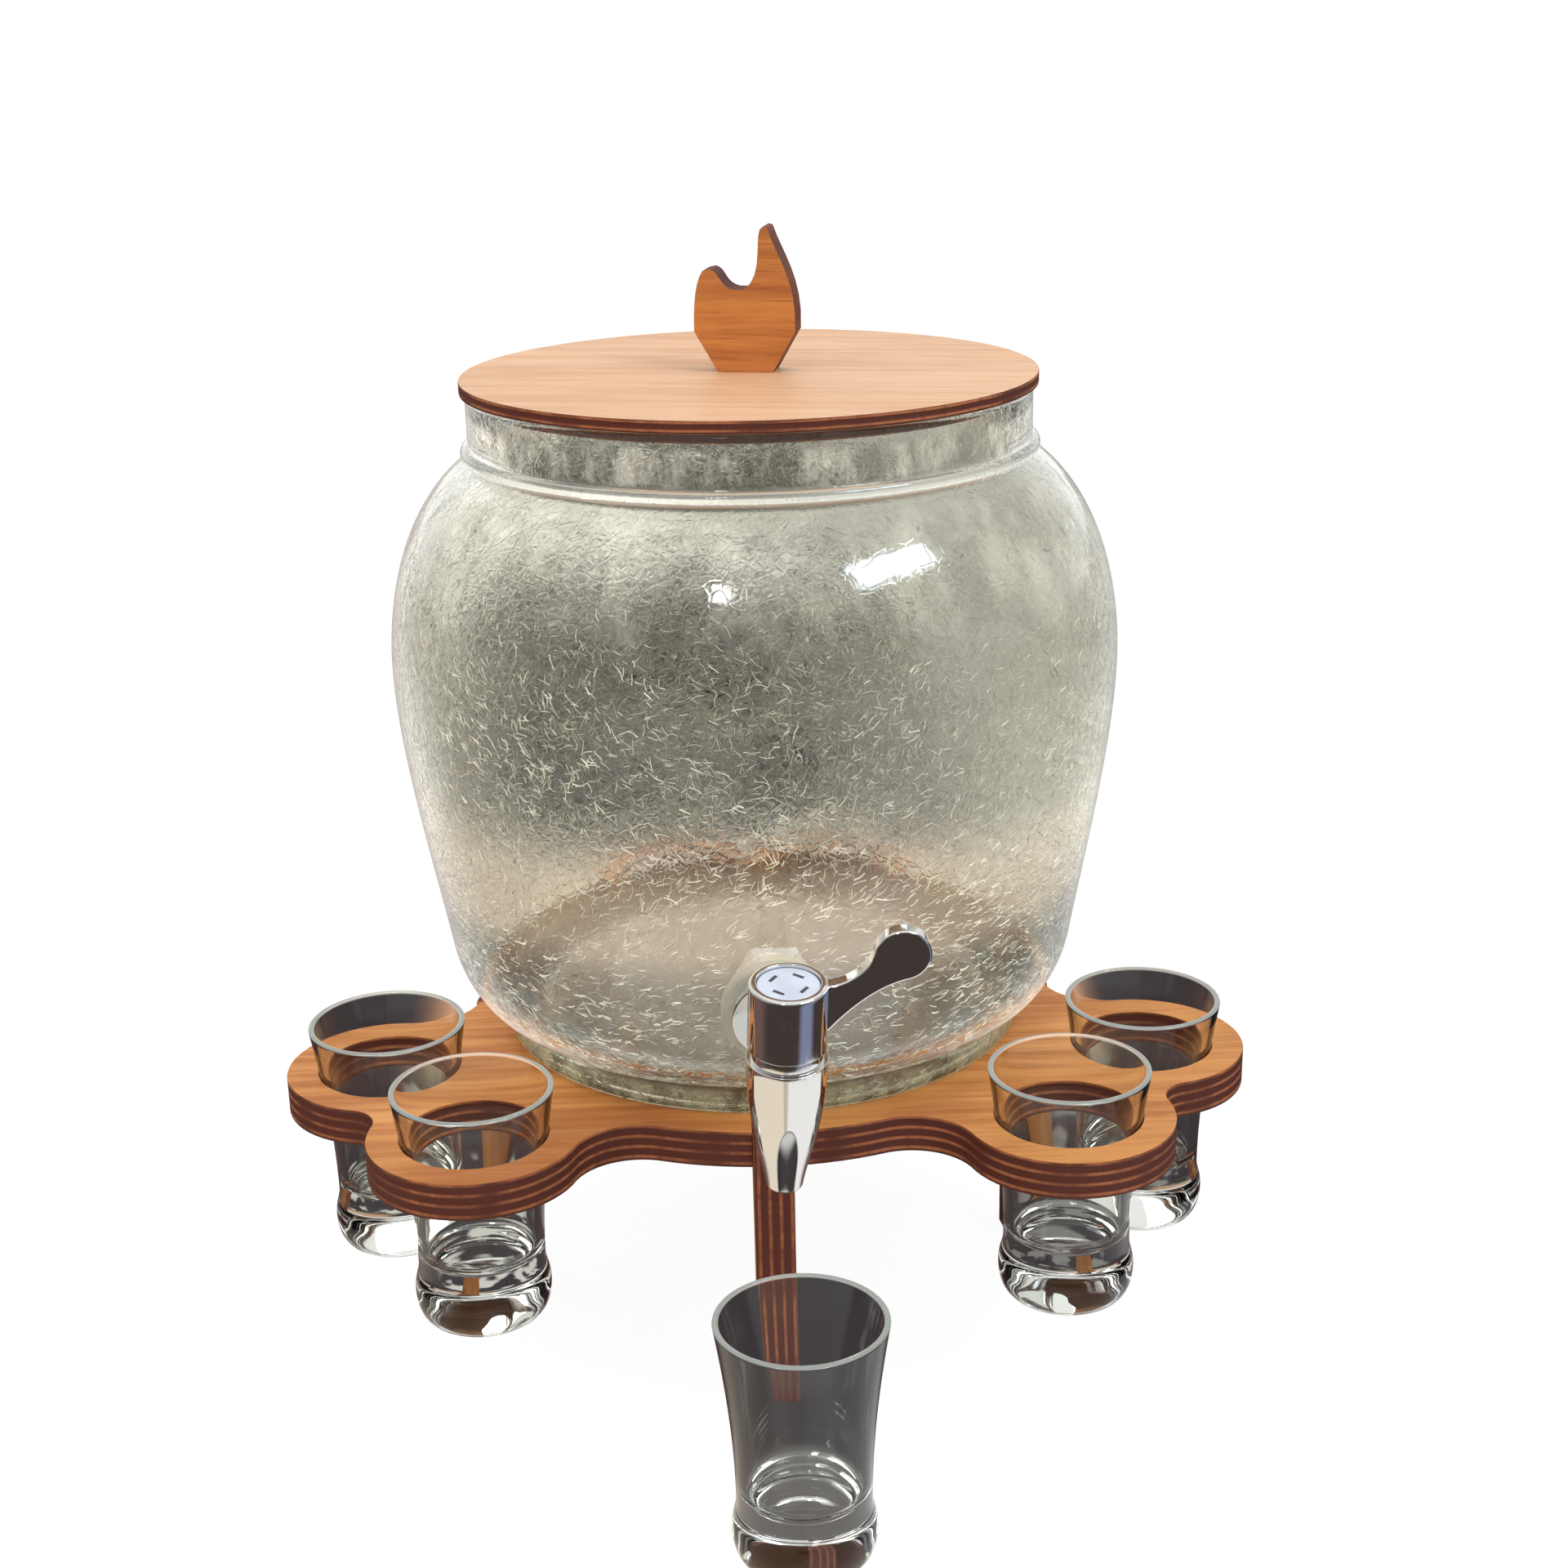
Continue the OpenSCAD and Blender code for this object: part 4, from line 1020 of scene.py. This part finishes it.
class MakeGlasses(bpy.types.Operator):
    """Shot glasses in the stand and under the spout"""
    bl_idname = "dispenser.make_glasses"
    bl_label = "Glasses"

    def execute(self, context):
        glass = context.scene.dispenser_glass
        material = clear_glass(glass)
        for node in GLASS_NODES:
            low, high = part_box(node)
            middle = Vector(((low.x + high.x) / 2, (low.y + high.y) / 2, low.z))
            outline = glass_outline(glass, high.z - low.z, (high.x - low.x) / 2)
            bm = spun(outline, middle, SMALL_SPIN_STEPS)
            rim = bm.verts.layers.float.new("rim")
            for vert in bm.verts:
                vert[rim] = float(vert.co.z > high.z - 0.5 * glass.rim)
            piece(bm, "finished_" + node, node, material, "clear_glass", node)
        return {"FINISHED"}


# Stage

def floor_material(stage):
    """White floor with faint shadows. Glass and chrome show a table and a darker room in its place."""
    material, tree = new_material("floor")
    coords = object_coords(tree)["Object"]
    place = split(tree, coords)
    sideways = maths(tree, "ABSOLUTE", place["X"])
    away = vector_maths(tree, "LENGTH", coords)["Value"]
    from_tap = vector_maths(tree, "SUBTRACT", coords, (VALVE_POINT.x, VALVE_POINT.y, 0))[0]
    spread = vector_maths(tree, "LENGTH", from_tap)["Value"]
    path = add(tree, "LightPath")

    lit = add(tree, "BsdfDiffuse", {"Color": stage.floor_colour})[0]
    white = add(tree, "Emission", {"Color": WHITE, "Strength": 1.05})[0]
    glow = times(tree, path["Is Camera Ray"], stage.floor_glow)
    plain = add(tree, "MixShader", {0: glow, 1: lit, 2: white})[0]

    # The room that glass shows
    gloom = times(tree, zone(tree, place["Y"], *GLOOM_BAND),
                  ranged(tree, place["X"], 0.05, 0.18, 1.0, 0.66), ranged(tree, place["X"], -0.34, -0.24))
    blots = ranged(tree, grain_noise(tree, coords, (11, 5, 7), 3.0, 0.6), 0.44, 0.60)
    gloom = times(tree, gloom, ranged(tree, blots, 0.0, 1.0, 0.86, 1.0))
    blots = times(tree, blots, zone(tree, place["Y"], *BLOT_BAND), 0.5)
    far_right = times(tree, ranged(tree, place["Y"], 0.95, 1.2),
                      ranged(tree, place["X"], -0.06, 0.10, 0.0, 0.5))
    gloom = maths(tree, "MAXIMUM", maths(tree, "MAXIMUM", gloom, blots), far_right)
    room = mixed(tree, gloom, stage.room_light, stage.room_dark)

    # The table that glass shows
    glints = ranged(tree, grain_noise(tree, coords, (30, 30, 30), 2.0, 0.5), 0.50, 0.58, 0.0, 0.50)
    glints = times(tree, glints, zone(tree, away, *UNDER_BAND), ranged(tree, sideways, 0.045, 0.070),
                   ranged(tree, place["X"], 0.0, 0.05, 1.0, 0.3))
    # Painted highlight: a faint pale patch on the floor under the front glass, which shows through its base
    below = ranged(tree, spread, 0.020, 0.045, 0.08, 0.0)
    near = mixed(tree, maths(tree, "MAXIMUM", glints, below), stage.near_colour, stage.room_light)
    ahead = ranged(tree, place["Y"], FRONT_LOW.y - 0.025, FRONT_LOW.y - 0.005, 0.65, 0.0)
    near = mixed(tree, ahead, near, stage.chrome_light)
    clouds = ranged(tree, grain_noise(tree, coords, (9, 7, 7), 3.0, 0.55), 0.38, 0.62)
    table = mixed(tree, clouds, stage.warm_colour, stage.moss_colour)
    behind = times(tree, zone(tree, place["Y"], *TABLE_BAND), ranged(tree, sideways, 0.11, 0.15, 1.0, 0.0))
    near = mixed(tree, behind, near, table)
    beyond = mixed(tree, ranged(tree, away, 0.34, 0.48), near, room)
    through = add(tree, "Emission", {"Color": beyond, "Strength": 1.2})[0]

    # The table and room that chrome shows
    across = split(tree, from_tap)
    side = maths(tree, "ARCTAN2", across["X"], times(tree, across["Y"], -1.0))
    degrees = times(tree, side, math.degrees(1))
    dark = mixed(tree, ranged(tree, degrees, -95, -60, 1.0, 0.0), stage.chrome_dark, stage.chrome_brown)
    dark = mixed(tree, zone(tree, degrees, *WINDOW_BAND), dark, stage.chrome_window)
    light = mixed(tree, ranged(tree, degrees, -14, 8), stage.chrome_warm, stage.chrome_light)
    streak = times(tree, zone(tree, degrees, *STREAK_BAND), 0.40)
    edges = ranged(tree, maths(tree, "ABSOLUTE", degrees), 112, 142)
    light = mixed(tree, maths(tree, "MAXIMUM", streak, edges), light, stage.chrome_brown)
    facing = maths(tree, "COSINE", maths(tree, "SUBTRACT", side, TABLE_TURN))
    bowed = maths(tree, "ADD", spread, times(tree, facing, TABLE_BOW))
    mirrored = mixed(tree, ranged(tree, bowed, *TABLE_EDGE), light, dark)
    gleam = add(tree, "Emission", {"Color": mirrored, "Strength": 1.0})[0]

    seen = add(tree, "MixShader", {0: path["Is Glossy Ray"], 1: plain, 2: gleam})[0]
    both = add(tree, "MixShader", {0: path["Is Transmission Ray"], 1: seen, 2: through})
    add(tree, "OutputMaterial", {"Surface": both[0]})
    return material


def light_room(scene):
    """White behind the object, dark on the camera's side and bright overhead."""
    world = bpy.data.worlds.new("studio")
    world.use_nodes = True
    tree = world.node_tree
    tree.nodes.clear()
    way = split(tree, object_coords(tree)["Generated"])
    beside_it = ranged(tree, maths(tree, "ABSOLUTE", way["X"]), 0.60, 0.92, 0.0, 0.35)
    pale = maths(tree, "MAXIMUM", ranged(tree, way["Y"], -0.35, 0.75), beside_it)
    sides = mixed(tree, pale, (0.10, 0.085, 0.075), (0.84, 0.85, 0.82))
    around = mixed(tree, ranged(tree, way["Z"], 0.35, 0.9), sides, (0.95, 0.96, 0.96))
    path = add(tree, "LightPath")
    seen = mixed(tree, path["Is Camera Ray"], around, WHITE)
    sky = add(tree, "Background", {"Color": seen, "Strength": 1.0})
    add(tree, "OutputWorld", {"Surface": sky[0]})
    scene.world = world


def add_softbox(name, at, target, size, power, rgb, mirrored=True):
    """A rectangular lamp that points at a target."""
    lamp = bpy.data.lights.new(name, "AREA")
    lamp.shape = "RECTANGLE"
    lamp.size, lamp.size_y = size
    lamp.energy = power
    lamp.color = rgb
    made = placed_object(name, lamp)
    made.visible_glossy = mirrored
    made.location = at
    made.rotation_euler = (Vector(target) - Vector(at)).to_track_quat("-Z", "Y").to_euler()


class MakeStage(bpy.types.Operator):
    """Camera, floor and light"""
    bl_idname = "dispenser.make_stage"
    bl_label = "Stage"

    def execute(self, context):
        scene = context.scene
        stage = scene.dispenser_stage
        lens = bpy.data.cameras.new("camera")
        lens.lens = stage.lens
        lens.sensor_width = SENSOR_WIDTH
        camera = placed_object("camera", lens)
        turn = (Matrix.Rotation(-stage.camera_yaw, 4, "Z")
                @ Matrix.Rotation(math.radians(90) - stage.camera_pitch, 4, "X")
                @ Matrix.Rotation(stage.camera_roll, 4, "Z"))
        camera.matrix_world = Matrix.Translation(stage.camera_at) @ turn
        scene.camera = camera

        bm = bmesh.new()
        bmesh.ops.create_grid(bm, x_segments=1, y_segments=1, size=stage.floor_size / 2)
        floor = mesh_object(bm, "floor", floor_material(stage))

        light_room(scene)
        middle = (0, 0, 0.18)
        add_softbox("window", (1.00, -0.72, 1.38), middle, (0.80, 0.34), 16, (0.72, 0.86, 1.0))
        add_softbox("lamp", (-0.305, -1.284, 1.29), middle, (0.16, 0.26), 3, WHITE)
        add_softbox("fill", (-1.30, -0.90, 1.20), middle, (1.2, 1.2), 10, (1.0, 0.97, 0.93), False)
        add_softbox("back", (-0.4, 1.4, 1.3), middle, (1.4, 1.0), 8, WHITE, False)
        scene.view_settings.view_transform = "Standard"
        return {"FINISHED"}


class DispenserPanel(bpy.types.Panel):
    """Sizes, colours and making of the dispenser"""
    bl_idname = "VIEW3D_PT_dispenser"
    bl_label = "Drinks Dispenser"
    bl_space_type = "VIEW_3D"
    bl_region_type = "UI"
    bl_category = "Dispenser"

    def draw(self, context):
        for operator in OPERATORS:
            self.layout.operator(operator.bl_idname)
        for name, settings in SETTINGS.items():
            box = self.layout.box()
            group = getattr(context.scene, name)
            for prop in settings.__annotations__:
                box.prop(group, prop, text=prop.replace("_", " ").capitalize())


OPERATORS = (MakeStand, MakeJar, MakeCracks, MakeLid, MakeTap, MakeGlasses, MakeStage)
SETTINGS = {
    "dispenser_jar": JarSettings, "dispenser_wood": WoodSettings, "dispenser_tap": TapSettings,
    "dispenser_glass": GlassSettings, "dispenser_stage": StageSettings,
}


def register():
    for settings in SETTINGS.values():
        bpy.utils.register_class(settings)
    for name, settings in SETTINGS.items():
        setattr(bpy.types.Scene, name, PointerProperty(type=settings))
    for operator in OPERATORS:
        bpy.utils.register_class(operator)
    bpy.utils.register_class(DispenserPanel)


def unregister():
    bpy.utils.unregister_class(DispenserPanel)
    for operator in reversed(OPERATORS):
        bpy.utils.unregister_class(operator)
    for name, settings in SETTINGS.items():
        delattr(bpy.types.Scene, name)
        bpy.utils.unregister_class(settings)


def main():
    register()
    bpy.ops.dispenser.make_stage()
    bpy.ops.dispenser.make_stand()
    bpy.ops.dispenser.make_jar()
    bpy.ops.dispenser.make_cracks()
    bpy.ops.dispenser.make_lid()
    bpy.ops.dispenser.make_tap()
    bpy.ops.dispenser.make_glasses()


if __name__ == "__main__":
    main()
